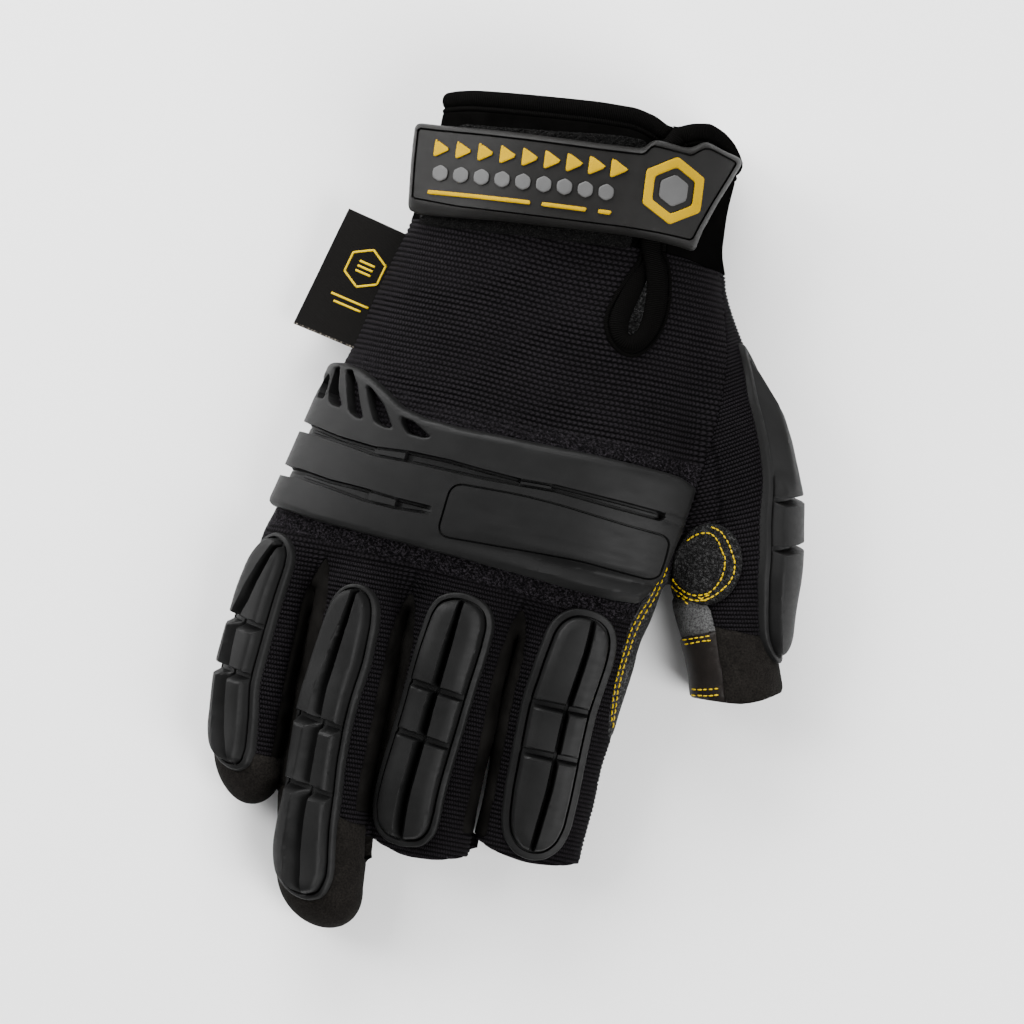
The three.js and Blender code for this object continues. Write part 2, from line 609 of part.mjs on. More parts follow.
function guardSection(guard, y, half, cut) {
  const row = rowAt(guard.limb, y);
  const scale = half / guard.half;
  const blockEdge = Math.max(half - RIM_WIDTH, 0.3 * half);
  const blockTop = cut || scale < 0.5 ? VALLEY_HEIGHT : BLOCK_HEIGHT;
  const profile = [
    [-half, -3],
    [-half, RIM_HEIGHT],
    [-blockEdge, RIM_HEIGHT],
    [-blockEdge * 0.86, blockTop - BLOCK_BEVEL / 2],
    [-VALLEY_HALF - 0.6, blockTop],
    [-VALLEY_HALF, VALLEY_HEIGHT],
    [VALLEY_HALF, VALLEY_HEIGHT],
    [VALLEY_HALF + 0.6, blockTop],
    [blockEdge * 0.86, blockTop - BLOCK_BEVEL / 2],
    [blockEdge, RIM_HEIGHT],
    [half, RIM_HEIGHT],
    [half, -3],
  ];
  return profile.map(([across, up]) => {
    const share = Math.min(Math.abs(across) / row.w, 0.97);
    const surface = row.h * (1 - share ** LIMB_POWER) ** (1 / LIMB_POWER);
    return limbPoint(row, across, surface + up);
  });
}

function fingerGuard(guard) {
  const sections = [];
  const place = (y, half, cut) => sections.push(guardSection(guard, y, half, cut));
  END_SHARES.forEach((share) => {
    const half = guard.half * Math.sqrt(1 - (1 - share) ** 2);
    place(guard.from - guard.half * share * 0.9, half, false);
  });
  guard.cuts.forEach((y) => {
    place(y + CUT_HALF + 0.5, guard.half, false);
    place(y + CUT_HALF, guard.half, true);
    place(y - CUT_HALF, guard.half, true);
    place(y - CUT_HALF - 0.5, guard.half, false);
  });
  [...END_SHARES].reverse().forEach((share) => {
    const half = guard.half * Math.sqrt(1 - (1 - share) ** 2);
    place(guard.to + guard.half * share * 0.9, half, false);
  });
  return loft(sections).subtract(clearOfGlove);
}
Object.entries(GUARDS).forEach(([name, guard]) => add(name, fingerGuard(guard), "rubber"));

// Woven label, sewn into the little finger side of the hand
const LABEL_THICK = 0.9;
const LABEL = [
  { x: -63.6, y: 75.6, z: 13 },
  { x: -44, y: 71, z: 20 },
  { x: -52.5, y: 36.2, z: 18 },
  { x: -72.6, y: 40, z: 9 },
];
const labelRing = (dz) => LABEL.map(({ x, y, z }) => new THREE.Vector3(x, y, z + dz));
add("side_label", loft([labelRing(LABEL_THICK), labelRing(0)]).subtract(clearOfGlove), "label");

// The glove as a scene graph, with the middle of its box over the origin
const glove = new THREE.Group();
pieces.forEach(({ name, made, material }) => {
  const found = made.getMesh();
  const geometry = new THREE.BufferGeometry();
  geometry.setAttribute("position", new THREE.BufferAttribute(found.vertProperties, 3));
  geometry.setIndex(new THREE.BufferAttribute(found.triVerts, 1));
  geometry.computeVertexNormals();
  const mesh = new THREE.Mesh(geometry, MATERIALS[material]);
  mesh.name = name;
  glove.add(mesh);
});
glove.position.set(-CENTRE.x, -CENTRE.y, 0);

export default glove;
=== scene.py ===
"""A heavy-duty rigger glove for the right hand, lying on its palm.

Lengths are millimetres in the glove's pattern frame until an object is made: +X runs to the thumb, +Y to the
wrist and +Z out of the back of the hand. The skin of the glove is one smooth distance field built from the
same section tables as the solids. Each cloth piece is cut out of that skin along its seams and made thick.
"""
import math

import bpy
import numpy as np
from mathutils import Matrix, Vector


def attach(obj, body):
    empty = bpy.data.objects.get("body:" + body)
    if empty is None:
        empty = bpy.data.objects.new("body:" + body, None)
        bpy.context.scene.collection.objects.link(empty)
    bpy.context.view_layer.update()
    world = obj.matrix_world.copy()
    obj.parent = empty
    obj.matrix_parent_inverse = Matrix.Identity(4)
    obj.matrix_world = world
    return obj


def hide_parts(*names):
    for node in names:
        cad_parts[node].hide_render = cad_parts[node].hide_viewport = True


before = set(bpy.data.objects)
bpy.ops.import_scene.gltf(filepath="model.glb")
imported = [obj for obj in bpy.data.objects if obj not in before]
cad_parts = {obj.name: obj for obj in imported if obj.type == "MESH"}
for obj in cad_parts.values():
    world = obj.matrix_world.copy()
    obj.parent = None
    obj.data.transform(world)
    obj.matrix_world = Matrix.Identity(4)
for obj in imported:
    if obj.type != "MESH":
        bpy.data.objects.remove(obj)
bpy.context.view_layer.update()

CENTRE = np.array([6.1, -4.4, 0.0])  # the pattern's place in the row frame
MM = 0.001

# Sections of the hand: y, left, right, crown, side_l, side_r, top, base
HAND = [
    (124, -43.2, 43.8, 2, 20, 22, 46, -1.2),
    (96, -43.0, 42.4, 2, 20, 22, 46, -1.2),
    (78, -45.2, 44.2, 4, 19, 22, 45.8, -1.2),
    (62, -48.8, 46.8, 7, 18, 22, 44.8, -1.2),
    (44, -53.4, 48.8, 11, 16, 21, 43.4, -1.2),
    (26, -57.4, 49.6, 14, 14, 20, 42.4, -1.2),
    (8, -61.2, 49.0, 16, 12, 20, 41.4, -1),
    (-8, -64.6, 47.6, 17, 11, 20, 39.6, 0.8),
    (-18, -67.0, 46.0, 16, 11, 20, 37.2, 3.5),
    (-25, -67.0, 44.4, 14, 12, 20, 33.0, 6.5),
    (-31, -62.0, 41.0, 12, 13, 19, 26.5, 10),
]
BACK_POWER = 2.1
PALM_POWER = 2.9
LIMB_POWER = 2.2

# Sections of each limb: y, x, z, w, h, turn. A tip is a closed dome: its length, and its lean to the thumb.
# An end is the open hem, as plan points.
LIMBS = {
    "little": {
        "tip": (14, 2.2),
        "rows": [
            (-6, -56, 13, 7.5, 6.5, 32), (-20, -58.0, 12.6, 10.4, 9.6, 37), (-38, -60.1, 12.2, 11.0, 9.7, 41),
            (-64, -60.7, 11.4, 11.3, 9.5, 43), (-84, -59.6, 10.4, 10.6, 9.2, 41),
        ],
    },
    "ring": {
        "tip": (13.5, 3.4),
        "rows": [
            (-8, -37, 19, 10, 8, 26), (-20, -37.4, 19.3, 12.8, 11.3, 30), (-34, -36.8, 18.5, 14.2, 11.3, 31),
            (-60, -36.6, 16.0, 14.5, 10.9, 32), (-86, -36.1, 13.0, 14.2, 10.6, 31),
            (-97, -35.2, 11.7, 13.8, 10.5, 29), (-108, -33.3, 10.9, 13.5, 10.5, 27),
            (-115, -31.9, 10.5, 13.3, 10.4, 26),
        ],
    },
    "middle": {
        "end": [(-24, -98), (-20, -100.3), (-10, -103), (0, -102.2), (8, -99.8), (10, -99)],
        "rows": [
            (-8, -7.5, 22, 11, 9, 10), (-20, -7.5, 23.3, 13.8, 12, 12), (-34, -7.5, 21.7, 15.9, 12, 13),
            (-61, -7.5, 17.2, 16.2, 11.2, 12), (-88, -7.8, 12.6, 16.0, 10.5, 11),
            (-104, -6.3, 10.1, 14.6, 10.2, 10),
        ],
    },
    "index": {
        "end": [(6, -93), (10, -94), (14, -96), (25, -97.6), (35, -96.6), (42, -94.4)],
        "rows": [
            (-8, 25.0, 22, 12, 9, -4), (-20, 27.0, 23.3, 16.0, 12, -5), (-34, 26.5, 21.5, 17.4, 12, -6),
            (-52, 24.4, 18.5, 17.2, 11.5, -6), (-80, 24.6, 13.5, 15.9, 10.8, -5),
            (-102, 24.4, 10.2, 15.6, 10.2, -5),
        ],
    },
    "thumb": {
        "end": [(50, -42.5), (60, -41.6), (70, -40.8), (75, -40.4), (81, -38.2), (90, -32.5)],
        "rows": [
            (76, 33.5, 21.0, 12.0, 10.0, -55), (58, 44.4, 19.2, 12.7, 12.2, -61),
            (42, 54.5, 17.7, 13.1, 12.7, -62), (24, 62.6, 16.4, 13.4, 13.0, -62),
            (8, 66.2, 15.5, 13.4, 13.2, -62), (-8, 67.0, 14.6, 13.4, 14.0, -62),
            (-22, 68.3, 13.8, 13.4, 14.0, -62), (-33, 72.8, 13.3, 13.3, 13.6, -62),
            (-46, 76.0, 13.0, 13.0, 13.3, -62),
        ],
    },
    "web": {
        "tip": (6.5, 1),
        "rows": [
            (52, 44, 20, 6, 13, -8), (30, 50, 18, 9, 13, -8), (12, 53, 17, 10, 12, -8),
            (-2, 53, 16, 9, 10, -6), (-14, 57.6, 15, 6.6, 8.5, -6),
        ],
    },
}
FINGERS = ["little", "ring", "middle", "index"]
ROOT_DOME = 8.0
OPEN_DOME = 8.0
BLEND = {"finger": 4.0, "thumb": 6.0, "floor": 3.0}
CREASE = 0.45  # height of the soft waves in the cloth
FAR = 9.0  # what a field says away from its own part of the glove


# Curves and tables
def smooth_columns(rows, sigma=3.0):
    """Dense columns of a table against its first column, with the corners between rows rounded."""
    table = np.array(sorted(rows), float)
    step = sigma / 6
    pad = 4 * sigma
    dense = np.arange(table[0, 0] - pad, table[-1, 0] + pad, step)
    kernel = np.exp(-0.5 * (np.arange(-pad, pad + step / 2, step) / sigma) ** 2)
    kernel /= kernel.sum()
    edge = len(kernel) // 2
    lines = [np.interp(dense, table[:, 0], column) for column in table[:, 1:].T]
    return dense, [np.convolve(np.pad(line, edge, mode="edge"), kernel, mode="valid") for line in lines]


def look_up(table, at):
    dense, columns = table
    return [np.interp(at, dense, column) for column in columns]


def plan_curve(points, sigma=1.5, across=True):
    """A smooth y(x) through plan points, or x(y) with across=False."""
    rows = points if across else [(y, x) for x, y in points]
    table = smooth_columns(rows, sigma)
    return lambda at: look_up(table, at)[0]


def smooth_min(a, b, k):
    h = np.clip(0.5 + 0.5 * (b - a) / k, 0, 1)
    return b + (a - b) * h - k * h * (1 - h)


def smooth_step(value, low, high):
    t = np.clip((value - low) / (high - low), 0, 1)
    return t * t * (3 - 2 * t)


def unit(vectors):
    return vectors / np.linalg.norm(vectors, axis=1)[:, None]


def run_length(path):
    """Length along a path up to each of its points."""
    return np.concatenate([[0], np.cumsum(np.linalg.norm(np.diff(path, axis=0), axis=1))])


def at_length(path, length, at):
    """The points of a path at some lengths along it."""
    return np.stack([np.interp(at, length, column) for column in path.T], 1)


def grid_points(xs, ys):
    return np.stack([g.ravel() for g in np.meshgrid(xs, ys)], 1)


# The skin as a distance field, negative inside
HAND_TABLE = smooth_columns(HAND)
for limb in LIMBS.values():
    limb["table"] = smooth_columns(limb["rows"])
    limb["first"] = limb["rows"][0][0]
    limb["last"] = limb["rows"][-1][0]


def hand_side(x, crown, side_l, side_r):
    """Height of the hand's widest line, which goes from one side's to the other's under the crown."""
    return side_l + (side_r - side_l) * smooth_step(x, crown - 25, crown + 25)


def hand_field(p):
    x, y, z = p.T
    left, right, crown, side_l, side_r, top, base = look_up(HAND_TABLE, np.clip(y, HAND[-1][0], HAND[0][0]))
    side = hand_side(x, crown, side_l, side_r)
    dx, dz = x - crown, z - side
    reach = np.where(dx > 0, right - crown, crown - left)
    rise = np.where(dz > 0, top - side, side - base)
    power = np.where(dz > 0, BACK_POWER, PALM_POWER)
    r = (np.abs(dx / reach) ** power + np.abs(dz / rise) ** power) ** (1 / power)
    over = np.maximum(HAND[-1][0] - y, 0)
    r = np.sqrt(r**2 + (over / 4) ** 2) + 1e-6
    q = np.sqrt(dx**2 + dz**2 + over**2) + 1e-6
    return q - q / r


def limb_frame(limb, y):
    """Centre x and z, half sizes and turn of a limb's section at y."""
    x, z, w, h, turn = look_up(limb["table"], np.clip(y, limb["last"], limb["first"]))
    length, lean = limb.get("tip", (OPEN_DOME, 0))
    share = np.clip((limb["last"] - y) / length, 0, 1)
    return x + lean * share, z, w, h, np.radians(turn)


def limb_local(limb, p):
    x, z, w, h, turn = limb_frame(limb, p[:, 1])
    dx, dz = p[:, 0] - x, p[:, 2] - z
    across = dx * np.cos(turn) + dz * np.sin(turn)
    up = -dx * np.sin(turn) + dz * np.cos(turn)
    return across, up, w, h


def limb_field(limb, p):
    across, up, w, h = limb_local(limb, p)
    r = (np.abs(across / w) ** LIMB_POWER + np.abs(up / h) ** LIMB_POWER) ** (1 / LIMB_POWER)
    past, before = np.maximum(limb["last"] - p[:, 1], 0), np.maximum(p[:, 1] - limb["first"], 0)
    length = limb.get("tip", (OPEN_DOME, 0))[0]
    r = np.sqrt(r**2 + (past / length) ** 2 + (before / ROOT_DOME) ** 2) + 1e-6
    q = np.sqrt(across**2 + up**2 + past**2 + before**2) + 1e-6
    return q - q / r


def creases(p):
    """Soft, shallow waves of the cloth. They fade out near the table and along the cuff."""
    x, y, z = p.T
    waves = (
        np.sin(0.105 * x + 0.21 * y + 1.1 + 0.8 * np.sin(0.06 * x))
        + 0.7 * np.sin(0.19 * x - 0.12 * y + 0.4)
        + 0.5 * np.sin(0.33 * y + 0.07 * x + 2.0) * np.sin(0.09 * x + 0.5)
    )
    return CREASE * 0.5 * waves * smooth_step(z, 3, 12) * smooth_step(-y, -95, -70)


def skin(p):
    """The outside of the glove: the hand, four fingers, and the thumb with its web."""
    hand = hand_field(p)
    thumb = smooth_min(limb_field(LIMBS["thumb"], p), limb_field(LIMBS["web"], p), BLEND["thumb"])
    d = smooth_min(hand, thumb, BLEND["thumb"])
    for name in FINGERS:
        d = np.minimum(d, smooth_min(hand, limb_field(LIMBS[name], p), BLEND["finger"]))
    return -smooth_min(-d, p[:, 2], BLEND["floor"]) - creases(p)


def gradient(field, p, step=0.05):
    columns = []
    for axis in range(3):
        shift = np.zeros(3)
        shift[axis] = step
        columns.append((field(p + shift) - field(p - shift)) / (2 * step))
    return np.stack(columns, 1)


def settle(p, rounds=3):
    """Points moved onto the skin along its normal, and the normals there."""
    for _ in range(rounds):
        g = gradient(skin, p)
        p = p - g * np.clip(skin(p) / (g**2).sum(1), -2, 2)[:, None]
    return p, unit(gradient(skin, p))


# Space between fingers is stretched while the skin is meshed, so that narrow gaps stay open.
GAP_STRETCH = 3.0


def limb_sides(name, y):
    """Plan X of both sides of a limb. They close in over its dome."""
    limb = LIMBS[name]
    x, _, w, h, turn = limb_frame(limb, y)
    share = np.clip((limb["last"] - y) / limb.get("tip", (OPEN_DOME, 0))[0], 0, 1)
    half = 1.02 * np.sqrt((w * np.cos(turn)) ** 2 + (h * np.sin(turn)) ** 2) * np.sqrt(1 - share**2)
    return x - half, x + half


def gap_line(index, y):
    """X of the middle of the gap between two neighbouring fingers."""
    return (limb_sides(FINGERS[index], y)[1] + limb_sides(FINGERS[index + 1], y)[0]) / 2


def stretched(x, y):
    amount = GAP_STRETCH * smooth_step(-y, 20, 30)
    return x + sum(amount * np.clip((x - gap_line(i, y)) / 1.2 + 0.5, 0, 1) for i in range(3))


def unstretched(target, y):
    low, high = target - 4 * GAP_STRETCH, target + 1.0
    for _ in range(26):
        middle = (low + high) / 2
        above = stretched(middle, y) > target
        high = np.where(above, middle, high)
        low = np.where(above, low, middle)
    return (low + high) / 2


# Meshes: an array of vertices, whose first six columns are position and normal, and an array of triangles
CELL = 1.4  # pitch of the skin's mesh
SKIN_BOX = np.array([(-82.0, -131.0, -2.4), (100.0, 124.0, 50.0)])
CORNERS = [(i, j, k) for i in (0, 1) for j in (0, 1) for k in (0, 1)]


def cell_points(values, active):
    """The middle of the zero crossings in each active cell, in cell units."""
    corner = {c: values[active[0] + c[0], active[1] + c[1], active[2] + c[2]] for c in CORNERS}
    total, hits = np.zeros((len(active[0]), 3)), np.zeros(len(active[0]))
    for c in CORNERS:
        for axis in range(3):
            if c[axis]:
                continue
            d = tuple(v + (a == axis) for a, v in enumerate(c))
            crossing = (corner[c] < 0) != (corner[d] < 0)
            point = np.tile(np.array(c, float), (crossing.sum(), 1))
            point[:, axis] += corner[c][crossing] / (corner[c][crossing] - corner[d][crossing])
            total[crossing] += point
            hits[crossing] += 1
    return np.stack(active, 1) + total / hits[:, None]


def surface_nets(values):
    """Points in cell units and quads of the zero surface of a grid of values."""
    size = [n - 1 for n in values.shape]
    inside = values < 0
    count = np.zeros(size, np.int8)
    for c in CORNERS:
        count += inside[tuple(slice(c[a], c[a] + size[a]) for a in range(3))]
    active = np.nonzero((count > 0) & (count < 8))
    points = cell_points(values, active)
    index = np.full(size, -1)
    index[active] = np.arange(len(points))
    quads = []
    for axis in range(3):
        b, c = (axis + 1) % 3, (axis + 2) % 3
        near, far = [slice(None)] * 3, [slice(None)] * 3
        near[axis], far[axis] = slice(0, -1), slice(1, None)
        change = np.stack(np.nonzero(inside[tuple(near)] != inside[tuple(far)]), 1)
        fits = (change[:, b] > 0) & (change[:, c] > 0) & (change[:, b] < size[b]) & (change[:, c] < size[c])
        change = change[fits]
        outward = inside[tuple(near)][tuple(change.T)]
        step_b, step_c = np.eye(3, dtype=int)[b], np.eye(3, dtype=int)[c]
        ring = [change - step_b - step_c, change - step_c, change, change - step_b]
        quad = np.stack([index[tuple(r.T)] for r in ring], 1)
        quad[~outward] = quad[~outward][:, ::-1]
        quads.append(quad)
    return points, np.concatenate(quads)


def mesh_skin():
    low, high = SKIN_BOX
    n = np.ceil((high - low) / CELL).astype(int)
    xs, ys, zs = [low[a] + CELL * np.arange(n[a]) for a in range(3)]
    plan_x, plan_y = [g.ravel() for g in np.meshgrid(xs, ys, indexing="ij")]
    real_x = unstretched(plan_x, plan_y)
    values = np.empty(tuple(n))
    for k, z in enumerate(zs):
        values[:, :, k] = skin(np.stack([real_x, plan_y, np.full(real_x.shape, z)], 1)).reshape(n[0], n[1])
    points, quads = surface_nets(values)
    points = low + points * CELL
    points[:, 0] = unstretched(points[:, 0], points[:, 1])
    points, normals = settle(points)
    return np.hstack([points, normals]), split_quads(points, quads)


def split_quads(points, quads):
    """Each quad as two triangles, cut along its shorter diagonal."""
    a, b, c, d = [points[quads[:, i]] for i in range(4)]
    first = ((a - c) ** 2).sum(1) <= ((b - d) ** 2).sum(1)
    one = np.where(first[:, None], quads[:, [0, 1, 2]], quads[:, [0, 1, 3]])
    two = np.where(first[:, None], quads[:, [0, 2, 3]], quads[:, [1, 2, 3]])
    return np.concatenate([one, two])


def compact(v, t):
    """Only the vertices that the triangles use."""
    used = np.unique(t)
    index = np.full(len(v), -1)
    index[used] = np.arange(len(used))
    return v[used], index[t]


def without_crumbs(mesh, least=60):
    """A mesh without its loose bits of fewer triangles than this."""
    v, t = mesh
    label, before = np.arange(len(v)), None
    while before is None or (label != before).any():
        before = label.copy()
        np.minimum.at(label, t.ravel(), np.repeat(before[t].min(1), 3))
        label = label[label]
    size = np.bincount(label[t[:, 0]], minlength=len(v))
    return compact(v, t[size[label[t[:, 0]]] >= least])


def knife(v, t, f, levels, snap):
    """Cuts triangles where the value f crosses each level. Returns the vertices, the triangles, the value at
    each vertex, and for each vertex the old vertex nearest to it."""
    levels = np.sort(np.asarray(levels, float))
    f = np.asarray(f, float).copy()
    place = np.searchsorted(levels, f)
    for side in (place - 1, place):
        level = levels[np.clip(side, 0, len(levels) - 1)]
        f = np.where(np.abs(f - level) < snap, level, f)
    order = np.argsort(f[t], axis=1, kind="stable")
    odd = (order[:, 0] == 0) & (order[:, 1] == 2) | (order[:, 0] == 1) & (order[:, 1] == 0)
    odd |= (order[:, 0] == 2) & (order[:, 1] == 1)
    a, b, c = np.take_along_axis(t, order, 1).T
    first = np.searchsorted(levels, f[a], side="right")
    count = np.maximum(np.searchsorted(levels, f[c], side="left") - first, 0)
    whole, cut = np.nonzero(count == 0)[0], np.nonzero(count)[0]
    if not len(cut):
        return v, t, f, np.arange(len(v))
    # The points where a triangle's two sides meet each level
    rung = np.repeat(cut, count[cut])
    start = np.cumsum(np.concatenate([[0], count[cut]]))
    step = np.arange(len(rung)) - np.repeat(start[:-1], count[cut])
    level = first[rung] + step
    value = levels[level]
    low_side = value < f[b[rung]]
    ends_l = np.stack([a[rung], c[rung]], 1)
    ends_r = np.stack([np.where(low_side, a[rung], b[rung]), np.where(low_side, b[rung], c[rung])], 1)
    ends = np.sort(np.concatenate([ends_l, ends_r]), 1)
    keys = (ends[:, 0].astype(np.int64) * len(v) + ends[:, 1]) * len(levels) + np.tile(level, 2)
    _, where, back = np.unique(keys, return_index=True, return_inverse=True)
    i, j = ends[where].T
    new_value = np.tile(value, 2)[where]
    span = np.where(f[j] == f[i], 1, f[j] - f[i])
    share = np.clip((new_value - f[i]) / span, 0, 1)
    added = v[i] * (1 - share[:, None]) + v[j] * share[:, None]
    ids = len(v) + back.reshape(2, -1)
    left, right = ids[0], np.where(value == f[b[rung]], b[rung], ids[1])
    # Strips between neighbouring rungs
    strips = count[cut] + 1
    tri = np.repeat(cut, strips)
    k = np.arange(len(tri)) - np.repeat(np.cumsum(strips) - strips, strips)
    base = np.repeat(start[:-1], strips)
    bottom, top = k == 0, k == count[tri]
    lo, hi = np.clip(base + k - 1, 0, len(rung) - 1), np.clip(base + k, 0, len(rung) - 1)
    left_lo = np.where(bottom, a[tri], left[lo])
    right_lo = np.where(bottom, np.where(f[b[tri]] == f[a[tri]], b[tri], a[tri]), right[lo])
    left_hi = np.where(top, c[tri], left[hi])
    right_hi = np.where(top, np.where(f[b[tri]] == f[c[tri]], b[tri], c[tri]), right[hi])
    value_lo = np.where(bottom, f[a[tri]], value[lo])
    value_hi = np.where(top, f[c[tri]], value[hi])
    held = (value_lo < f[b[tri]]) & (f[b[tri]] < value_hi)
    middle = b[tri]
    made = [
        (np.stack([left_lo, right_lo, right_hi], 1)[~held], tri[~held]),
        (np.stack([left_lo, right_hi, left_hi], 1)[~held], tri[~held]),
        (np.stack([left_lo, right_lo, middle], 1)[held], tri[held]),
        (np.stack([left_lo, middle, left_hi], 1)[held], tri[held]),
        (np.stack([middle, right_hi, left_hi], 1)[held], tri[held]),
    ]
    pieces = np.concatenate([m[0] for m in made])
    flip = odd[np.concatenate([m[1] for m in made])]
    pieces[flip] = pieces[flip][:, ::-1]
    real = (pieces != np.roll(pieces, 1, axis=1)).all(1)
    old = np.concatenate([np.arange(len(v)), np.where(share < 0.5, i, j)])
    v, f = np.concatenate([v, added]), np.concatenate([f, new_value])
    return v, np.concatenate([t[whole], pieces[real]]), f, old


def cut_out(v, t, f, levels, snap):
    """Cuts at the levels and keeps what lies above zero."""
    v, t, f, _ = knife(v, t, f, levels, snap)
    return compact(v, t[f[t].mean(1) > 0])


def split(mesh, field, snap=0.35):
    """The parts of a skin mesh where the field is above and below zero. Vertices near the line move onto it
    first, so that no slivers are left."""
    v, t = mesh
    p = v[:, :3]
    value = field(p)
    g = gradient(field, p)
    steep = np.maximum(np.linalg.norm(g, axis=1), 1e-3)
    distance = value / steep
    near = np.abs(distance) < snap * CELL
    if near.any():
        v = v.copy()
        moved = p[near] - g[near] * (distance[near] / steep[near])[:, None]
        moved, normals = settle(moved, 1)
        v[near, :3], v[near, 3:6] = moved, normals
        distance = np.where(near, 0, distance)
    v, t, f, _ = knife(v, t, distance, [0.0], 0)
    above = f[t].sum(1) > 0
    return compact(v, t[above]), compact(v, t[~above])


def off(v, height):
    """Vertices moved out along their normals, each by its own height or all by one."""
    return v[:, :3] + v[:, 3:6] * np.reshape(height, (-1, 1))


def edges_without_partner(t):
    """Directed edges that only one triangle uses."""
    edges = np.concatenate([t[:, [0, 1]], t[:, [1, 2]], t[:, [2, 0]]])
    n = t.max() + 1
    keys = edges[:, 0].astype(np.int64) * n + edges[:, 1]
    back = edges[:, 1].astype(np.int64) * n + edges[:, 0]
    return edges[~np.isin(keys, back)]


def thicken(outer, t, inner, t_inner=None, partner=None):
    """A closed mesh from an outer layer, an inner layer and a wall between their edges."""
    t_inner = t if t_inner is None else t_inner
    partner = np.arange(len(outer)) if partner is None else partner
    u, w = edges_without_partner(t).T
    n = len(outer)
    below_u, below_w = n + partner[u], n + partner[w]
    wall = np.concatenate([np.stack([w, u, below_u], 1), np.stack([w, below_u, below_w], 1)])
    wall = wall[(wall[:, 1] != wall[:, 2]) & (wall[:, 0] != wall[:, 2])]
    return np.concatenate([outer, inner]), np.concatenate([t, n + t_inner[:, ::-1], wall])


def linked(name, data):
    """A new object of the scene."""
    made = bpy.data.objects.new(name, data)
    bpy.context.scene.collection.objects.link(made)
    return made


def facing(points, t, normals):
    """The triangles, turned over if they look against the normals."""
    a, b, c = [points[t[:, i]] for i in range(3)]
    return t[:, ::-1] if (np.cross(b - a, c - a) * normals[t[:, 0]]).sum() < 0 else t


def make_object(name, points, faces, material, slot_name, replaced=None, uv=None, sharp=50, loops=None):
    """An object in metres in the row frame, from points and triangles in the pattern frame. It replaces the
    solid of its own name unless told otherwise."""
    faces = np.asarray(faces, np.int32)
    mesh = bpy.data.meshes.new(name)
    mesh.vertices.add(len(points))
    mesh.vertices.foreach_set("co", ((np.asarray(points) - CENTRE) * MM).astype(np.float32).ravel())
    mesh.loops.add(faces.size)
    mesh.loops.foreach_set("vertex_index", faces.ravel())
    mesh.polygons.add(len(faces))
    mesh.polygons.foreach_set("loop_start", np.arange(0, faces.size, faces.shape[1], dtype=np.int32))
    mesh.polygons.foreach_set("use_smooth", np.ones(len(faces), bool))
    if uv is not None:
        layer = mesh.uv_layers.new(name="weave")
        layer.uv.foreach_set("vector", (np.asarray(uv) * MM)[faces.ravel()].astype(np.float32).ravel())
    if loops is not None:
        mesh.attributes.new("loops", "FLOAT", "POINT").data.foreach_set("value", loops.astype(np.float32))
    mesh.update(calc_edges=True)
    mesh.validate()
    if sharp:
        mesh.set_sharp_from_angle(angle=math.radians(sharp))
    mesh.materials.append(material)
    made = linked(name, mesh)
    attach(made, "root")
    replaced = [name] if replaced is None else replaced
    if replaced:
        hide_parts(*replaced)
    return made


def walled(outer, t, inner, weave=None):
    """Points, faces and weave of a piece with an outer and an inner layer, and the same weave on both."""
    return (*thicken(outer, t, inner), None if weave is None else np.tile(weave, (2, 1)))


def shell(name, outer, t, inner, material, slot_name, weave=None, **more):
    points, faces, uv = walled(outer, t, inner, weave)
    return make_object(name, points, faces, material, slot_name, uv=uv, **more)


# Plan curves of the seams and edges
MOUTH = plan_curve([
    (-60, 113.2), (-44, 113.6), (-36, 115), (-19.7, 116.5), (0, 118.4), (10.9, 118.9),
    (16.8, 117.8), (21.7, 115.5), (26.6, 118), (32.6, 119.4), (37.5, 118), (41.5, 115.1), (43.9, 111.5),
    (60, 110.5),
], 1.0)
WRIST = plan_curve([(-60, 76), (-40, 76.3), (0, 79), (17, 80.6), (34, 80.6), (41, 79.4), (60, 78)], 3.0)
THUMB_SEAM = plan_curve([
    (44.0, 90), (44.0, 80), (47.5, 68), (50.5, 58), (52.0, 45), (51.2, 30), (50.0, 15), (48.8, 2), (48.2, -8),
    (48.6, -15), (50.0, -25), (53.0, -46),
], 2.0, across=False)
INDEX_SEAM = plan_curve([
    (54, 8), (49.5, 0), (47, -4), (44.8, -9), (42.8, -15), (40.0, -22), (39.3, -30), (38.9, -40), (39.3, -50),
    (40.2, -56), (43, -61), (48, -66),
], 1.5, across=False)
SEAM_SIDE = 14.5
SEAM_DROP = 1.0
THUMB_ROOT_DROP = 12  # how far the seam falls at the thumb's root
THUMB_FROM_X = 48  # beyond the fingers' roots, what lies past this is the thumb
WRAP_YS = (-66, -8)  # from where to where the leather wraps up round the index finger's root
FOURCHETTE_HALF = 3.3
FOURCHETTE_TAPER = 14  # length over which a side wall opens to its full width
FOURCHETTE_TOPS = [-24, -29, -27]
FOURCHETTE_END = -93
RING_TIP = plan_curve([(-60, -90), (-50, -90), (-38, -93), (-27, -96.5), (-15, -97)], 2.0)
LITTLE_TIP_Y = -83
TIPS_Y = -70  # both suede tips lie beyond this
PALMAR = -2.5
THUMB_TIP_Y = -20
GREY_FROM_Y = -14.5
GREY_TO = (59.4, -23.2, 0.45)  # a point of the grey patch's lower edge, and its slope
RIDGE = plan_curve([
    (30, -8), (56, -12.5), (60.8, -14.6), (62.0, -17.5), (63.7, -21.2), (64.9, -24.6), (66.3, -28.3),
    (67.8, -31.6), (69.2, -35.7), (70.3, -39.5), (71.5, -46)], 1.0, across=False)
CLOTH_WALL = 1.8
HEM_LIFT = 0.5  # how far the hem patch stands over the grey patch
CUFF_WALL = 2.6


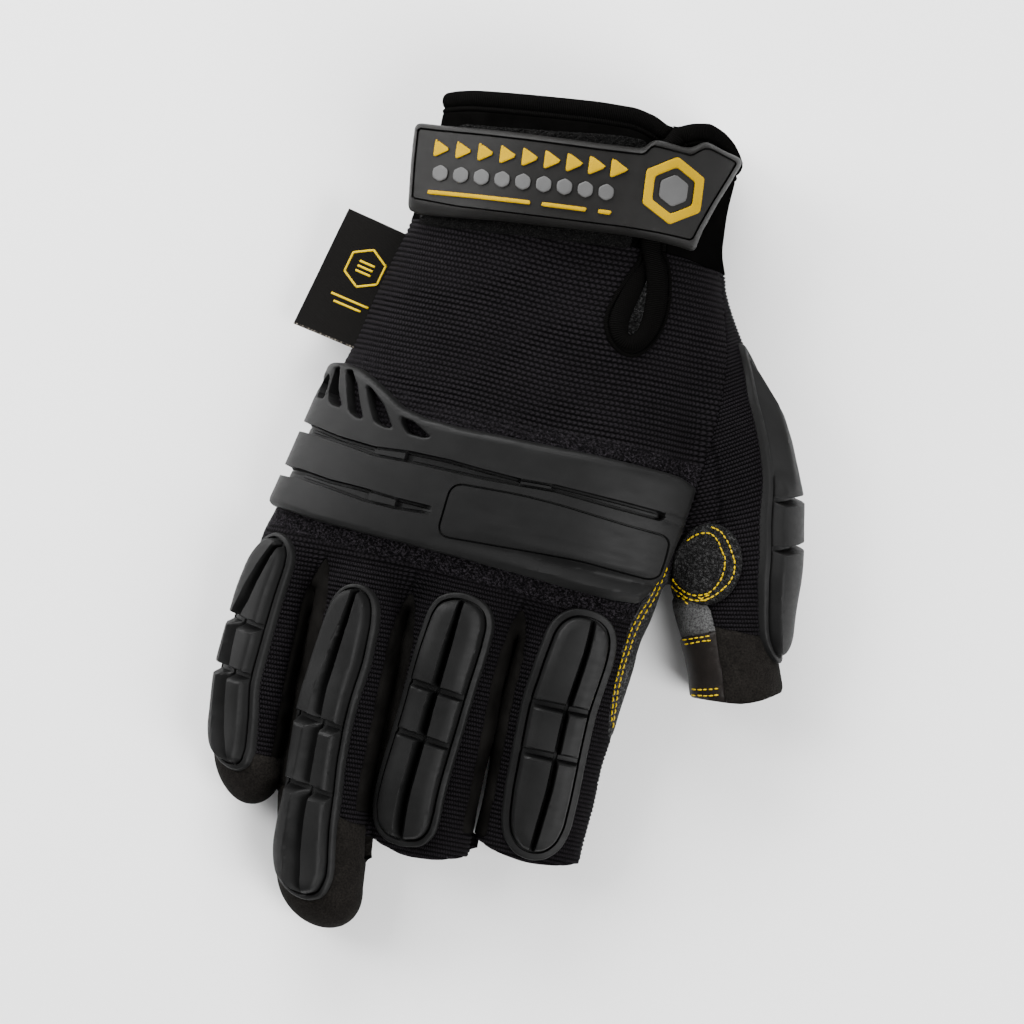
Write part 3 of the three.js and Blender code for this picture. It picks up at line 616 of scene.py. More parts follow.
def ends_field(p):
    """Positive on the wrist side of the open ends of the middle and index fingers and the thumb."""
    x, y, _ = p.T
    value = np.full(len(p), FAR)
    zones = [
        ("middle", (x > gap_line(1, y)) & (x < gap_line(2, y)) & (y < -85)),
        ("index", (x >= gap_line(2, y)) & (x < THUMB_FROM_X) & (y < -85)),
        ("thumb", (x >= THUMB_FROM_X) & (y < -20)),
    ]
    for name, zone in zones:
        value = np.where(zone, np.minimum(y - LIMB_END[name](x), FAR), value)
    return value


LIMB_END = {name: plan_curve(LIMBS[name]["end"], 2.0) for name in ("middle", "index", "thumb")}


def seam_height(x, y):
    """Height of the sewn line between the back and the palm."""
    finger_z = limb_frame(LIMBS["little"], y)[1]
    for i, name in enumerate(FINGERS[1:]):
        here = limb_frame(LIMBS[name], y)[1]
        finger_z = finger_z + (here - finger_z) * smooth_step(x, gap_line(i, y) - 2, gap_line(i, y) + 2)
    height = SEAM_SIDE + (finger_z - SEAM_DROP - SEAM_SIDE) * smooth_step(-y, 10, 30)
    return height - THUMB_ROOT_DROP * smooth_step(x, 40, 46) * smooth_step(y, -12, -4)


def palm_side(p):
    """Positive on the palm side, and on the leather that wraps up round the index finger's root."""
    x, y, z = p.T
    low, high = WRAP_YS
    wrap = np.minimum(x - INDEX_SEAM(y), np.minimum((y - low) * 0.8, high - y))
    return np.maximum(seam_height(x, y) - z, wrap)


def fourchette_side(p):
    """Positive on the side walls between the fingers."""
    x, y, _ = p.T
    best = np.full(len(p), -FAR)
    for i, top in enumerate(FOURCHETTE_TOPS):
        half = FOURCHETTE_HALF * np.sqrt(np.clip((top - y) / FOURCHETTE_TAPER, 0, 1))
        inside = np.minimum(half - np.abs(x - gap_line(i, y)), np.minimum(top - y, y - FOURCHETTE_END))
        best = np.maximum(best, inside)
    return best


def ring_tip_side(p):
    """Positive on the ring finger's suede tip, the middle finger's side above its own end left out."""
    x, y, _ = p.T
    own = (x < gap_line(1, y)) | ((x < 0) & (y < LIMB_END["middle"](x)))
    return np.where((x > gap_line(0, y)) & own & (y < TIPS_Y), np.maximum(RING_TIP(x) - y, -FAR), -FAR)


def little_tip_side(p):
    x, y, _ = p.T
    return np.where((x < gap_line(0, y)) & (y < TIPS_Y), np.maximum(LITTLE_TIP_Y - y, -FAR), -FAR)


def thumb_side(p):
    """Positive on the thumb's side of its seam."""
    return p[:, 0] - THUMB_SEAM(p[:, 1])


def thumb_palm_side(p):
    """Positive on the palm side of the thumb, and on the leather and satin that wrap up to the ridge."""
    x, y, z = p.T
    palm = PALMAR - limb_local(LIMBS["thumb"], p)[1]
    palm = np.where(y > -10, np.minimum(palm, 15 - z), palm)
    return np.where(y < -8, np.maximum(palm, RIDGE(y) - x), palm)


def grey_end(p):
    x, y, slope = GREY_TO
    return y + slope * (p[:, 0] - x) - p[:, 1]


def from_stretches(start, end, p):
    """Plan distance of each point from each stretch of a line, and the share of it at the nearest place."""
    x, y = p[:, 0, None], p[:, 1, None]
    ex, ey = (end - start).T
    along = np.clip(((x - start[:, 0]) * ex + (y - start[:, 1]) * ey) / (ex**2 + ey**2), 0, 1)
    return np.hypot(x - start[:, 0] - along * ex, y - start[:, 1] - along * ey), along


def polygon_field(points):
    """A function that gives the distance inside a closed plan outline, negative outside it."""
    ring = np.array(points, float)
    nxt = np.roll(ring, -1, axis=0)
    ex, ey = (nxt - ring).T

    def field(p):
        x, y = p[:, 0, None], p[:, 1, None]
        distance = from_stretches(ring, nxt, p)[0].min(1)
        spans = (ring[:, 1] > y) != (nxt[:, 1] > y)
        crossing = spans & (x < ring[:, 0] + (y - ring[:, 1]) / np.where(ey == 0, 1, ey) * ex)
        return np.where(crossing.sum(1) % 2 == 1, distance, -distance)

    return field


def line_distance(points, p):
    """Plan distance of each point from an open line."""
    line = np.array(points, float)
    return from_stretches(line[:-1], line[1:], p)[0].min(1)


def line_station(points, p):
    """How far along an open line the point nearest to each point lies."""
    line = np.array(points, float)
    distance, along = from_stretches(line[:-1], line[1:], p)
    nearest, length = distance.argmin(1), run_length(line)
    return length[nearest] + along[np.arange(len(p)), nearest] * np.diff(length)[nearest]


def rounded(points, radius=1.0, rounds=3):
    """A closed outline with its corners cut off again and again, each time nearer to a curve."""
    ring = np.array(points, float)
    for _ in range(rounds):
        nxt = np.roll(ring, -1, axis=0)
        span = np.linalg.norm(nxt - ring, axis=1)[:, None]
        cut = np.minimum(0.25, radius / np.maximum(span, 1e-6))
        ring = np.stack([ring + (nxt - ring) * cut, nxt - (nxt - ring) * cut], 1).reshape(-1, 2)
        radius /= 2
    return ring


# Keyhole: a teardrop in the back of the hand
KEYHOLE = {"x": 23.9, "y": 59.2, "radius": 8.3, "top_x": 24, "top_y": 90, "top_half": 6}
KEYHOLE_HEM = 3.6


def teardrop(inset):
    """The keyhole's outline, drawn in by an amount."""
    radius = KEYHOLE["radius"] - inset
    half = KEYHOLE["top_half"] - inset
    top = [(KEYHOLE["top_x"] + half, KEYHOLE["top_y"]), (KEYHOLE["top_x"] - half, KEYHOLE["top_y"])]
    angles = np.radians(np.arange(170, 373, 7.5))
    return top + [(KEYHOLE["x"] + radius * math.cos(a), KEYHOLE["y"] + radius * math.sin(a)) for a in angles]


keyhole_hem = polygon_field(teardrop(KEYHOLE_HEM))


def keyhole_side(p):
    return np.where(p[:, 2] > 25, keyhole_hem(p), -FAR)


# The knuckle guard's outline in plan
GUARD_OUTLINE = rounded([
    (-80, -11), (-66, -12.6), (-55, -14.3), (-42, -15), (-25, -15.8), (-10, -16.6), (5, -17.5), (20, -18.8),
    (33, -19.4), (41.6, -18.8), (45, -14), (47.8, -6), (49.8, 4), (51.4, 18), (46, 19.8), (38, 20.2),
    (20, 20.6), (0, 20.4), (-20, 20.3), (-30, 20.9), (-37, 22.6), (-43, 26.4), (-47.4, 29), (-52, 31.2),
    (-58, 32.2), (-66, 31), (-80, 29),
], 0.8)
guard_outline = polygon_field(GUARD_OUTLINE)


# Pieces of cloth
def seam_dip(t, count, depth=0.5):
    """How far each vertex of a piece sinks, so that its edges turn down into the seams."""
    dip = np.zeros(count)
    rim = np.unique(edges_without_partner(t))
    dip[np.unique(t[np.isin(t, rim).any(1)])] = depth * 0.12
    dip[rim] = depth
    return dip


def plain_piece(name, mesh, material, slot_name, replaced=None, dip=0.5, lift=0.0):
    """A cloth piece with a smooth face."""
    v, t = mesh
    outer, inner = off(v, lift - seam_dip(t, len(v), dip)), off(v, -CLOTH_WALL)
    return shell(name, outer, t, inner, material, slot_name, replaced=replaced)


# Ribs of the knit: along them runs the first coordinate of the weave, and across them the second.
RIB_PITCH = 1.5
RIB_HEIGHT = 0.42
RIB_LEVELS = 3  # cuts in each rib
LOOP_RELIEF = 0.2
FINGER_RIBS = 0.15  # how much closer the ribs are on the fingers
KNUCKLE_Y = -22
THUMB_RIBS = 1.25
FUZZ_WIDTH = 4.8  # band of brushed loops beside the knuckle guard
HAND_AXIS = (5, 12)  # x and z of the line that the hand's ribs run round
HAND_FLATNESS = 0.45
HAND_RADIUS = 38


def hand_rib(p):
    x, y, _ = p.T
    waves = 0.9 * np.sin(0.045 * x + 0.02 * y) + 0.25 * np.sin(0.13 * x + 1.0) * smooth_step(y, -15, 10)
    return y + waves + FINGER_RIBS * np.minimum(y - KNUCKLE_Y, 0)


def thumb_rib(p):
    x, y, _ = p.T
    slope = 0.2 + 0.45 * smooth_step(y, -15, 45)
    return THUMB_RIBS * (y - slope * (x - 50))


def round_the_hand(p):
    """Length along the ribs, measured round the back."""
    x, y, z = p.T
    axis_x, axis_z = HAND_AXIS
    hand = -np.arctan2(z - axis_z, (x - axis_x) * HAND_FLATNESS) * HAND_RADIUS
    limb = np.zeros(len(p))
    for i, name in enumerate(FINGERS):
        across, up, w, _ = limb_local(LIMBS[name], p)
        mine = (x > gap_line(i - 1, y) if i else True) & (x <= gap_line(i, y) if i < 3 else True)
        limb = np.where(mine, -np.arctan2(up, across) * w, limb)
    return np.where(y < KNUCKLE_Y, limb, hand)


def round_the_thumb(p):
    across, up, w, _ = limb_local(LIMBS["thumb"], p)
    return -np.arctan2(up, across) * w


def rib_shape(s):
    """Height of the ribs: rounded crests and narrow valleys, from 0 to 1."""
    return np.sqrt(np.clip(1 - np.abs(2 * (s % 1.0) - 1) ** 2.2, 0, 1))


def knit_piece(name, mesh, material, rib, along, fuzz=None):
    """A knitted piece. Its outer layer is cut along the ribs, and each cut line is raised to their shape."""
    v, t = mesh
    s = rib(v[:, :3]) / RIB_PITCH
    levels = np.arange(math.floor(s.min() * RIB_LEVELS), math.ceil(s.max() * RIB_LEVELS) + 1) / RIB_LEVELS
    outer, faces, s, partner = knife(v, t, s, levels, 0.14 / RIB_LEVELS)
    p = outer[:, :3]
    loose = np.zeros(len(p)) if fuzz is None else fuzz(p)
    height = RIB_HEIGHT * (rib_shape(s) - 1) * (1 - 0.8 * loose) - seam_dip(t, len(v), 0.35)[partner] * 0.7
    x, y, _ = p.T
    height += LOOP_RELIEF * loose * np.sin(5.1 * x + 2.3 * np.sin(3.9 * y)) * np.sin(4.3 * y + x)
    points, faces = thicken(off(outer, height), faces, off(v, -CLOTH_WALL), t, partner)
    outer_weave = np.stack([along(p), s * RIB_PITCH], 1)
    inner_weave = np.stack([along(v[:, :3]), rib(v[:, :3])], 1)
    make_object(
        name, points, faces, material, "knit", uv=np.concatenate([outer_weave, inner_weave]), sharp=0,
        loops=np.concatenate([loose, np.zeros(len(v))]))


def guard_fuzz(p):
    edge = -guard_outline(p)
    share = 0.25 + 0.75 * smooth_step(p[:, 0] - 4 * p[:, 1], -130, -40)
    return share * (1 - smooth_step(edge, FUZZ_WIDTH - 0.8, FUZZ_WIDTH + 0.8))


whole = mesh_skin()
kept, _ = split(whole, ends_field)
kept, _ = split(kept, lambda p: MOUTH(p[:, 0]) - p[:, 1])
cuff_mesh, hand_mesh = split(kept, lambda p: p[:, 1] - WRIST(p[:, 0]))
thumb_mesh, finger_mesh = split(hand_mesh, thumb_side)
ring_tip, rest = split(finger_mesh, ring_tip_side)
little_tip, rest = split(rest, little_tip_side)
palm_mesh, upper = split(rest, palm_side)
walls, back_mesh = split(upper, fourchette_side)
_, back_mesh = split(back_mesh, keyhole_side)
palm_mesh, walls, back_mesh = [without_crumbs(mesh) for mesh in (palm_mesh, walls, back_mesh)]
ring_tip, little_tip = without_crumbs(ring_tip), without_crumbs(little_tip)
thumb_under, thumb_upper = split(thumb_mesh, thumb_palm_side)
thumb_tip, thumb_knit = split(thumb_upper, lambda p: THUMB_TIP_Y - p[:, 1])
thumb_lower, thumb_leather = split(thumb_under, lambda p: GREY_FROM_Y - p[:, 1])
thumb_hem, grey_patch = split(thumb_lower, grey_end)


# Finger guards. Each has its outline in points of its limb's own plan: across, to the thumb's side, and y.
# Its valley runs along it from its low end: y, across, and the width of its slope towards the little finger.
# A cut has its y in the middle and its slant. The block past a cut sags down to it.
GUARDS = {
    "little_guard": {
        "limb": "little", "rim": 1.4, "sag": 2.2, "facet": 1.8,
        "outline": [
            (0.2, -19.3), (4, -20.5), (6.6, -23.5), (7.7, -28), (7.8, -36), (7.7, -50), (7.6, -65),
            (7.8, -76), (8.3, -83), (7.4, -87.3), (3.5, -89.4), (-2, -87.8), (-6, -83.8), (-8.5, -78),
            (-9.3, -70), (-9.4, -60), (-9.2, -48), (-8.8, -38), (-7.6, -28), (-5.3, -23), (-2.6, -20.3)],
        "valley": [
            (-88, 3.6, 4), (-84, 2.8, 4), (-78, 1, 4), (-72, 0.1, 4), (-60, -0.1, 4), (-52, -1, 3.6),
            (-45, -1.2, 3.4), (-40, 0.5, 3.2), (-30, 1.9, 2.2), (-21, 3.4, 0.8)],
        "cuts": [(-46.3, -0.13), (-61, -0.1)],
    },
    "ring_guard": {
        "limb": "ring", "rim": 1.3, "sag": 2.7, "facet": 1.2,
        "outline": [
            (5.3, -28.6), (9.2, -30.2), (11.2, -34), (12, -40), (11.8, -50), (11.1, -60), (10.4, -70),
            (10.1, -80), (10.3, -89), (10.1, -96), (9.7, -102), (9.1, -110), (8.5, -115), (6, -119.4),
            (0.7, -121.4), (-4.8, -120.3), (-9.2, -117.2), (-11.6, -112.5), (-11.7, -107), (-9.9, -101),
            (-7.6, -94), (-6.9, -88), (-7.4, -80), (-7.5, -70), (-6.5, -60), (-5.2, -50), (-3.6, -40),
            (-2, -34.4), (1.1, -30.2)],
        "valley": [
            (-119, 0.3, 4.8), (-108, 0.4, 5.2), (-100, 1.5, 4.4), (-92, 2.6, 4.2), (-75, 3.1, 4.2),
            (-60, 3.4, 3), (-50, 4.2, 2.1), (-40, 5.3, 1.3), (-33, 5.9, 0.8)],
        "cuts": [(-69.3, -0.11), (-88.9, -0.11)],
    },
    "middle_guard": {
        "limb": "middle", "rim": 1.8, "sag": 0.9, "facet": 2.6,
        "outline": [
            (2.4, -25.1), (7.3, -26.2), (10.4, -28.8), (11.8, -33), (11.5, -40), (10.5, -50), (9.7, -60),
            (8.8, -70), (8.1, -80), (7.8, -90), (6.7, -95.4), (3.5, -99.3), (-2.6, -100.6), (-8.5, -99.5),
            (-12.1, -96), (-13.3, -90), (-12.7, -80), (-11.7, -70), (-10.8, -60), (-10, -50), (-8.9, -40),
            (-7.8, -32), (-5.8, -27.9), (-2, -25.7)],
        "valley": [
            (-97, -2.6, 2.4), (-85, -1.9, 2.4), (-75, -1.2, 2.2), (-60, -0.3, 2), (-50, 0.6, 1.6),
            (-40, 1.4, 1.6), (-28, 2.2, 0.8)],
        "cuts": [(-53.9, -0.1), (-68.5, -0.1)],
    },
    "index_guard": {
        "limb": "index", "rim": 2.2, "sag": 1.3, "facet": 2.6,
        "outline": [
            (-1.4, -22.3), (3.5, -23), (7.4, -25.6), (9.5, -30), (10.1, -36), (10, -50), (10.1, -62),
            (10.3, -76), (10.2, -86), (8.6, -91.7), (5, -95.5), (0, -96.7), (-5, -95.4), (-8.8, -91.2),
            (-10.3, -86), (-11.1, -78), (-11.4, -66), (-11.7, -50), (-11.8, -38), (-11.2, -30),
            (-9.2, -25.8), (-5.7, -23)],
        "valley": [(-94, -0.2, 0.9), (-90, 0, 0.9), (-75, 0.9, 1), (-25, 0.9, 0.9)],
        "cuts": [(-51.4, 0), (-65.6, 0)],
    },
    "thumb_guard": {
        "limb": "thumb", "rim": 1.7, "sag": 0.9, "facet": 0.01, "soft": 21, "low_end": (-17, -26, 3.2),
        "outline": [
            (1, 61.6), (-1.2, 58.6), (-2.2, 55), (-4.2, 50), (-6.1, 45.4), (-7.0, 40), (-7.6, 30), (-8.3, 20),
            (-9.2, 10), (-9.3, 4), (-9, -3), (-7.8, -9), (-6.8, -15), (-5.6, -20.5), (-2.8, -25.2),
            (1, -27.2), (5.5, -25), (8.3, -20.5), (9.9, -14), (10.6, -6), (11.2, 4), (11.2, 12), (10.8, 22),
            (10.4, 32), (9.8, 40), (8.8, 46), (6.6, 52), (4, 57)],
        "valley": None,
        "cuts": [(20.1, 0.19), (6.7, 0.21)],
    },
}
GUARD_CELL = 1.0
GUARD_SINK = 0.8  # how far the underside of a guard lies in the cloth
MOULDED = 38  # degrees between faces that a moulded guard shows as an edge
RIM_HEIGHT = 1.7
GROOVE_HEIGHT = 0.5
BLOCK_HEIGHT = 5.2
FACET_SLOPE = 0.28  # of the flat that runs round the blocks' tops
WRIST_FALL = (0.6, 20, 4)  # how far the top sinks to the wrist's end, and from where to where, off that end
RIM_STEPS = [0, 0.1, 0.3, 0.55]
WALL_STEPS = [-0.2, 0, 0.12, 0.45, 0.6, 0.8, 1.2]  # from the rim's inner edge to the block's top
VALLEY_STEPS = [-0.6, -0.35, 0.35, 0.6, 1.0, 1.15]


def settled(value, levels):
    """Values that lie beside a cut line take the line's own value, so that steep walls stay straight."""
    levels = np.array(levels)
    nearest = levels[np.abs(value[:, None] - levels).argmin(1)]
    return np.where(np.abs(value - nearest) < 0.045, nearest, value)


def outer_edge(d):
    return np.interp(d, RIM_STEPS, [-GUARD_SINK, 1.1, RIM_HEIGHT - 0.12, RIM_HEIGHT])


def rim_profile(d, rim, top):
    """Height of a finger guard at a distance inside its outline: rim, groove and the wall of the blocks."""
    depth = GROOVE_HEIGHT - RIM_HEIGHT
    low = outer_edge(d) + np.interp(d - rim, WALL_STEPS[:4], [0, -0.25, depth, depth])
    rise = np.interp(d - rim, WALL_STEPS[3:5], [0, 1])
    return low + (top - np.interp(d - rim, WALL_STEPS[4:], [1.7, 0.4, 0]) - low) * rise


def valley_place(v, spec):
    """Distance from the valley's line, positive on the thumb's side, and the width of the slope opposite."""
    y, across, slope = np.array(spec["valley"]).T
    return v[:, 0] - np.interp(v[:, 1], y, across), np.interp(v[:, 1], y, slope)


def valley_height(v, spec):
    """Height of the face beside the valley: steep on the thumb's side and gentle on the other."""
    side, slope = valley_place(v, spec)
    side = settled(side, VALLEY_STEPS)
    steep = np.interp(side, VALLEY_STEPS[2:], [0.5, 1.2, BLOCK_HEIGHT - 0.6, BLOCK_HEIGHT + 1])
    share = np.clip((-side - 0.6) / (slope - 0.6), 0, 1)
    gentle = np.interp(-side, [0.35, 0.6], [0.5, 1.2]) + (BLOCK_HEIGHT - 1.5) * share
    gentle += 1.5 * np.clip((-side / slope - 1) / 0.1, 0, 1)
    return np.where(side > 0, steep, gentle)


def rim_steps(spec):
    """Distances inside the outline at which the face bends."""
    return RIM_STEPS + [spec["rim"] + step for step in WALL_STEPS]


def cut_steps(sag):
    """Distances from a cut at which the face bends, positive on the fingertip's side."""
    return [-1.3, -0.95, -0.6, 0.6, 0.6 + 0.75 * sag, 0.8 + sag]


def guard_height(v, spec, outline):
    """Height of a finger guard's face over the skin: its rim and blocks, less the valley and the cuts."""
    across, y = v.T
    d = settled(outline(v), rim_steps(spec))
    facet = FACET_SLOPE * np.clip(spec["rim"] + 0.6 + spec["facet"] - d, 0, spec["facet"])
    top_y = max(point[1] for point in spec["outline"])
    fall, start, stop = WRIST_FALL
    top = BLOCK_HEIGHT - facet - fall * smooth_step(y, top_y - start, top_y - stop)
    if "low_end" in spec:
        start, stop, drop = spec["low_end"]
        top = top - drop * np.clip((start - y) / (start - stop), 0, 1) ** 2
    height = rim_profile(d, spec["rim"], top)
    if "soft" in spec:
        rise = BLOCK_HEIGHT - RIM_HEIGHT
        soft = outer_edge(d) + np.interp(d - spec["rim"], [-0.2, 0, 0.15, 0.55, 5], [0, -0.1, -0.25, 0, rise])
        height += (soft - height) * smooth_step(y, spec["soft"], spec["soft"] + 7)
    blocks = valley_height(v, spec) if spec["valley"] else np.full(len(v), FAR)
    over = BLOCK_HEIGHT + 1
    steps = cut_steps(spec["sag"])
    for cut, slant in spec["cuts"]:
        below = settled(cut + slant * across - y, steps)
        blocks = np.minimum(blocks, np.interp(
            below, steps, [over, BLOCK_HEIGHT - 0.6, 1.2, 1.2, BLOCK_HEIGHT - 0.7, over]))
    return np.where(d > spec["rim"] + 0.35, np.minimum(height, blocks), height)


def limb_point(limb, across, up, y):
    """A point given by its place in the limb's own section at y. The reverse of limb_local."""
    x, z, _, _, turn = limb_frame(limb, y)
    return np.stack([
        x + across * np.cos(turn) - up * np.sin(turn), y, z + across * np.sin(turn) + up * np.cos(turn)], 1)


def back_of_limb(limb, across, y):
    """How far out along the limb's own up direction the skin lies."""
    _, _, w, h, _ = limb_frame(limb, y)
    share = np.minimum(np.abs(across) / w, 0.985)
    up = h * (1 - share**LIMB_POWER) ** (1 / LIMB_POWER)
    for _ in range(12):
        up = up - np.clip(1.15 * skin(limb_point(limb, across, up, y)), -1.5, 1.5)
    return np.maximum(up, h * 0.3)


def grid_triangles(rows, columns):
    a = (np.arange(rows - 1)[:, None] * columns + np.arange(columns - 1)).ravel()
    return np.concatenate([
        np.stack([a, a + 1, a + columns + 1], 1), np.stack([a, a + columns + 1, a + columns], 1)])


def finger_guard(name, material):
    """A guard on a grid in its limb's plan, cut along every line at which its face bends."""
    spec = GUARDS[name]
    limb = LIMBS[spec["limb"]]
    ring = rounded(spec["outline"], 1.2, 2)
    outline = polygon_field(ring)
    (left, low), (right, high) = ring.min(0), ring.max(0)
    lines = np.linspace(left - 0.02, right + 0.02, math.ceil((right - left) / GUARD_CELL) + 1)
    rows = np.arange(low - 0.5, high + 1, GUARD_CELL)
    v = grid_points(lines, rows)
    v, t = cut_out(v, grid_triangles(len(rows), len(lines)), outline(v), rim_steps(spec), 0.03)
    if spec["valley"]:
        v, t, _, _ = knife(v, t, valley_place(v, spec)[0], VALLEY_STEPS, 0.03)
        side, slope = valley_place(v, spec)
        v, t, _, _ = knife(v, t, side / slope, [-1.1, -1], 0.01)
    for cut, slant in spec["cuts"]:
        v, t, _, _ = knife(v, t, cut + slant * v[:, 0] - v[:, 1], cut_steps(spec["sag"]), 0.03)
    across, y = v.T
    up = back_of_limb(limb, across, y)
    outer = limb_point(limb, across, up + guard_height(v, spec, outline), y)
    inner = limb_point(limb, across, up - GUARD_SINK - 0.3, y)
    shell(name, outer, t, inner, material, "rubber", weave=v, sharp=MOULDED)


# Knuckle guard: one moulded plate over the four knuckles. Its lines are plan lines of its raised face.
# A channel has its outline, the line between its upper and its lower edge, and the depth of its bar along x.
GUARD_PROUD = 3.9
PLATE_CELL = 0.7
PLATE_COLUMNS = 220
PLATE_STEPS = [0, 0.12, 0.4, 1.0, 2.0]  # from the plate's edge inward
VENT_STEPS = [-0.5, -0.2, 0]
UPPER_CHANNEL = {
    "top": [
        (-90, 15), (-63, 13), (-53.1, 11.1), (-42.2, 10.2), (-32, 11), (-21.2, 11), (-10.5, 10.3), (0.4, 9.8),
        (10.6, 10.2), (31, 9.5), (41, 9), (90, 8)],
    "low": [
        (-90, 10.2), (-63, 10), (-52.6, 8.9), (-41.5, 7.3), (-31.3, 7.5), (-9.8, 7.1), (0.6, 7.4),
        (10.6, 7.8), (25, 6.9), (41, 6.1), (90, 5)],
    "depth": [
        (-62.4, 2.7), (-61.6, 1.2), (-42.1, 1.2), (-41.9, 0.5), (-33.1, 0.5), (-32.9, 2.3), (-31.1, 2.3),
        (-30.9, 1.4), (-14, 1.5), (0.3, 2.2), (0.6, 0.4), (9.4, 0.4), (9.7, 2.2), (22, 1.7), (41, 1.2),
        (41.3, 2.4)],
    "end": (44, 44.4),
    "round": (42.7, 1.6),
}
LOWER_CHANNEL = {
    "top": [
        (-90, 1), (-61.5, -0.4), (-53, -1.5), (-42.8, -1.9), (-32.8, -2.7), (-24.2, -3), (90, -4)],
    "low": [
        (-90, -3.4), (-61, -3.4), (-52.4, -4.4), (-42, -5.9), (-32, -6.2), (-24.2, -5.8), (90, -5.8)],
    "depth": [
        (-61.9, 2.7), (-61.1, 1.2), (-41.1, 1.2), (-40.9, 0.5), (-33.1, 0.5), (-32.9, 2.3), (-31.3, 2.3),
        (-31.1, 1.3), (-22, 1.1)],
    "end": (-25, -22.4),
    "round": (90, 1.6),
}
TOP_GAP = [0, 0.1, 0.6, 1.2, 1.35]
LOW_GAP = [0, 0.1, 0.75, 0.87]
CHANNEL_STEPS = sorted(TOP_GAP + LOW_GAP[2:])
CONTINUATION = [[(43.2, 9.1), (50.6, 8.4)], [(43.2, 6.4), (50.6, 5.2)]]
VENTS = [polygon_field(rounded(points, 0.4, 2)) for points in [
    [(-62.2, 20.6), (-59.7, 20.5), (-59.4, 24.1), (-59.3, 27.1), (-60.1, 28.2), (-61.4, 26)],
    [(-58.9, 22.9), (-58.2, 20.1), (-56.3, 19.2), (-53.8, 19.1), (-56, 24.1), (-56.5, 27.4), (-56.9, 30.6),
     (-58.4, 29.9)],
    [(-53.1, 23.3), (-51.5, 18.4), (-49, 17.1), (-47.1, 17), (-49.2, 22.1), (-50.8, 26.4), (-53.3, 30.3),
     (-55, 29.8)],
    [(-45.7, 20.8), (-43.6, 16.9), (-40.5, 16), (-38.1, 16.1), (-41.8, 22), (-46.7, 26.3), (-48.1, 26.6)],
    [(-35.3, 17.3), (-33.5, 15.6), (-29.3, 15.3), (-26.9, 15.9), (-32.8, 19.3), (-36.7, 19.8)],
]]
PANEL = polygon_field(rounded([
    (-18.4, 4.6), (1, 5.2), (12, 4.8), (33, 3.0), (45.5, 2.3), (45.6, -3), (44.8, -11), (36, -10.6),
    (22, -9.6), (4, -10.2), (-19.6, -11)], 2.0, 3))
PANEL_STEPS = [-0.34, -0.12, 0.12, 0.34]
ROLL_LINE = [(4, -11), (22, -11.3), (41, -11.4)]
LOW_EDGE = [(x, y) for x, y in GUARD_OUTLINE if y < -10]
TOP_EDGE = [(0, 20.6), (20, 20.8), (38, 20.4), (52, 18.6)]
GUARD_LOW_Z = 8.0
GUARD_THUMB_Z = 22.0
GUARD_SWEEP = (205, -4)  # degrees round the hand, from the little finger's side to the thumb's
# The plate rolls off towards its low edge: distance from the edge, and height. Its top edge has a flat bevel.
ROLL_OFF = [(0, -1.9), (1, -1.3), (2.5, -0.75), (4.5, -0.25), (7.5, 0)]
BEVEL_SLOPE = 0.16
BEVEL_WIDTH = 3.2


def hand_row(y, count):
    """Points round the back of the hand at y, evenly spaced from the little finger's side to the thumb's."""
    left, right, crown, side_l, side_r, top, base = [float(c) for c in look_up(HAND_TABLE, y)]
    angles = np.radians(np.linspace(*GUARD_SWEEP, 700))
    c, s = np.cos(angles), np.sin(angles)
    power = np.where(s > 0, BACK_POWER, PALM_POWER)
    reach = np.where(c > 0, right - crown, crown - left)
    x = crown + reach * np.sign(c) * np.abs(c) ** (2 / power)
    side = hand_side(x, crown, side_l, side_r)
    rise = np.where(s > 0, top - side, side - base)
    z = side + rise * np.sign(s) * np.abs(s) ** (2 / power)
    length = np.concatenate([[0], np.cumsum(np.hypot(np.diff(x), np.diff(z)))])
    return at_length(np.stack([x, np.full(len(x), y), z], 1), length, np.linspace(0, length[-1], count))


def raised(v):
    """Where the skin's points come to lie on the plate's face."""
    return off(v, GUARD_PROUD)


def channel_place(channel, v):
    """Distances below a channel's upper edge and above its lower edge, and the height of its bar."""
    x, y, _ = raised(v).T
    top, low, depth = [np.interp(x, *np.array(channel[key]).T) for key in ("top", "low", "depth")]
    end, radius = channel["round"]
    half = (top - low) / 2 * np.sqrt(1 - np.clip((x - end + radius) / radius, 0, 1) ** 2)
    middle = (top + low) / 2
    return settled(middle + half - y, CHANNEL_STEPS), settled(y - middle + half, LOW_GAP), -depth


def channel_height(channel, v):
    """Depth of a channel: a dark gap along each edge, wide along the upper one, and a bar between them."""
    below, above, bar = channel_place(channel, v)
    thin = bar > -0.6
    narrow, wide = np.interp(below, LOW_GAP[:2], [0, -1.8]), np.interp(below, TOP_GAP[:3], [0, -2.2, -2.8])
    edge = np.where(thin, narrow, wide)
    rise = np.where(thin, np.interp(below, LOW_GAP[2:], [0, 1]), np.interp(below, TOP_GAP[3:], [0, 1]))
    height = edge + (bar - edge) * rise
    height = np.minimum(height, np.interp(above, LOW_GAP[1:], [-2.1, -2.1, 0]))
    height = np.maximum(height, np.interp(above, LOW_GAP[:2], [0, -3]))
    fade = np.interp(raised(v)[:, 0], channel["end"], [1, 0])
    return np.where((below > 0) & (above > 0), height * fade, 0)


def guard_inset_plan(v):
    """Distance inside the plate's outline, and above its lower ends at both sides of the hand."""
    low_end = np.where(v[:, 0] < 0, GUARD_LOW_Z, GUARD_THUMB_Z)
    return np.minimum(guard_outline(raised(v)), v[:, 2] - low_end)


def vents(v):
    return np.max([field(raised(v)) for field in VENTS], 0)


def bump(distance, width):
    return np.exp(-(distance / width) ** 2)


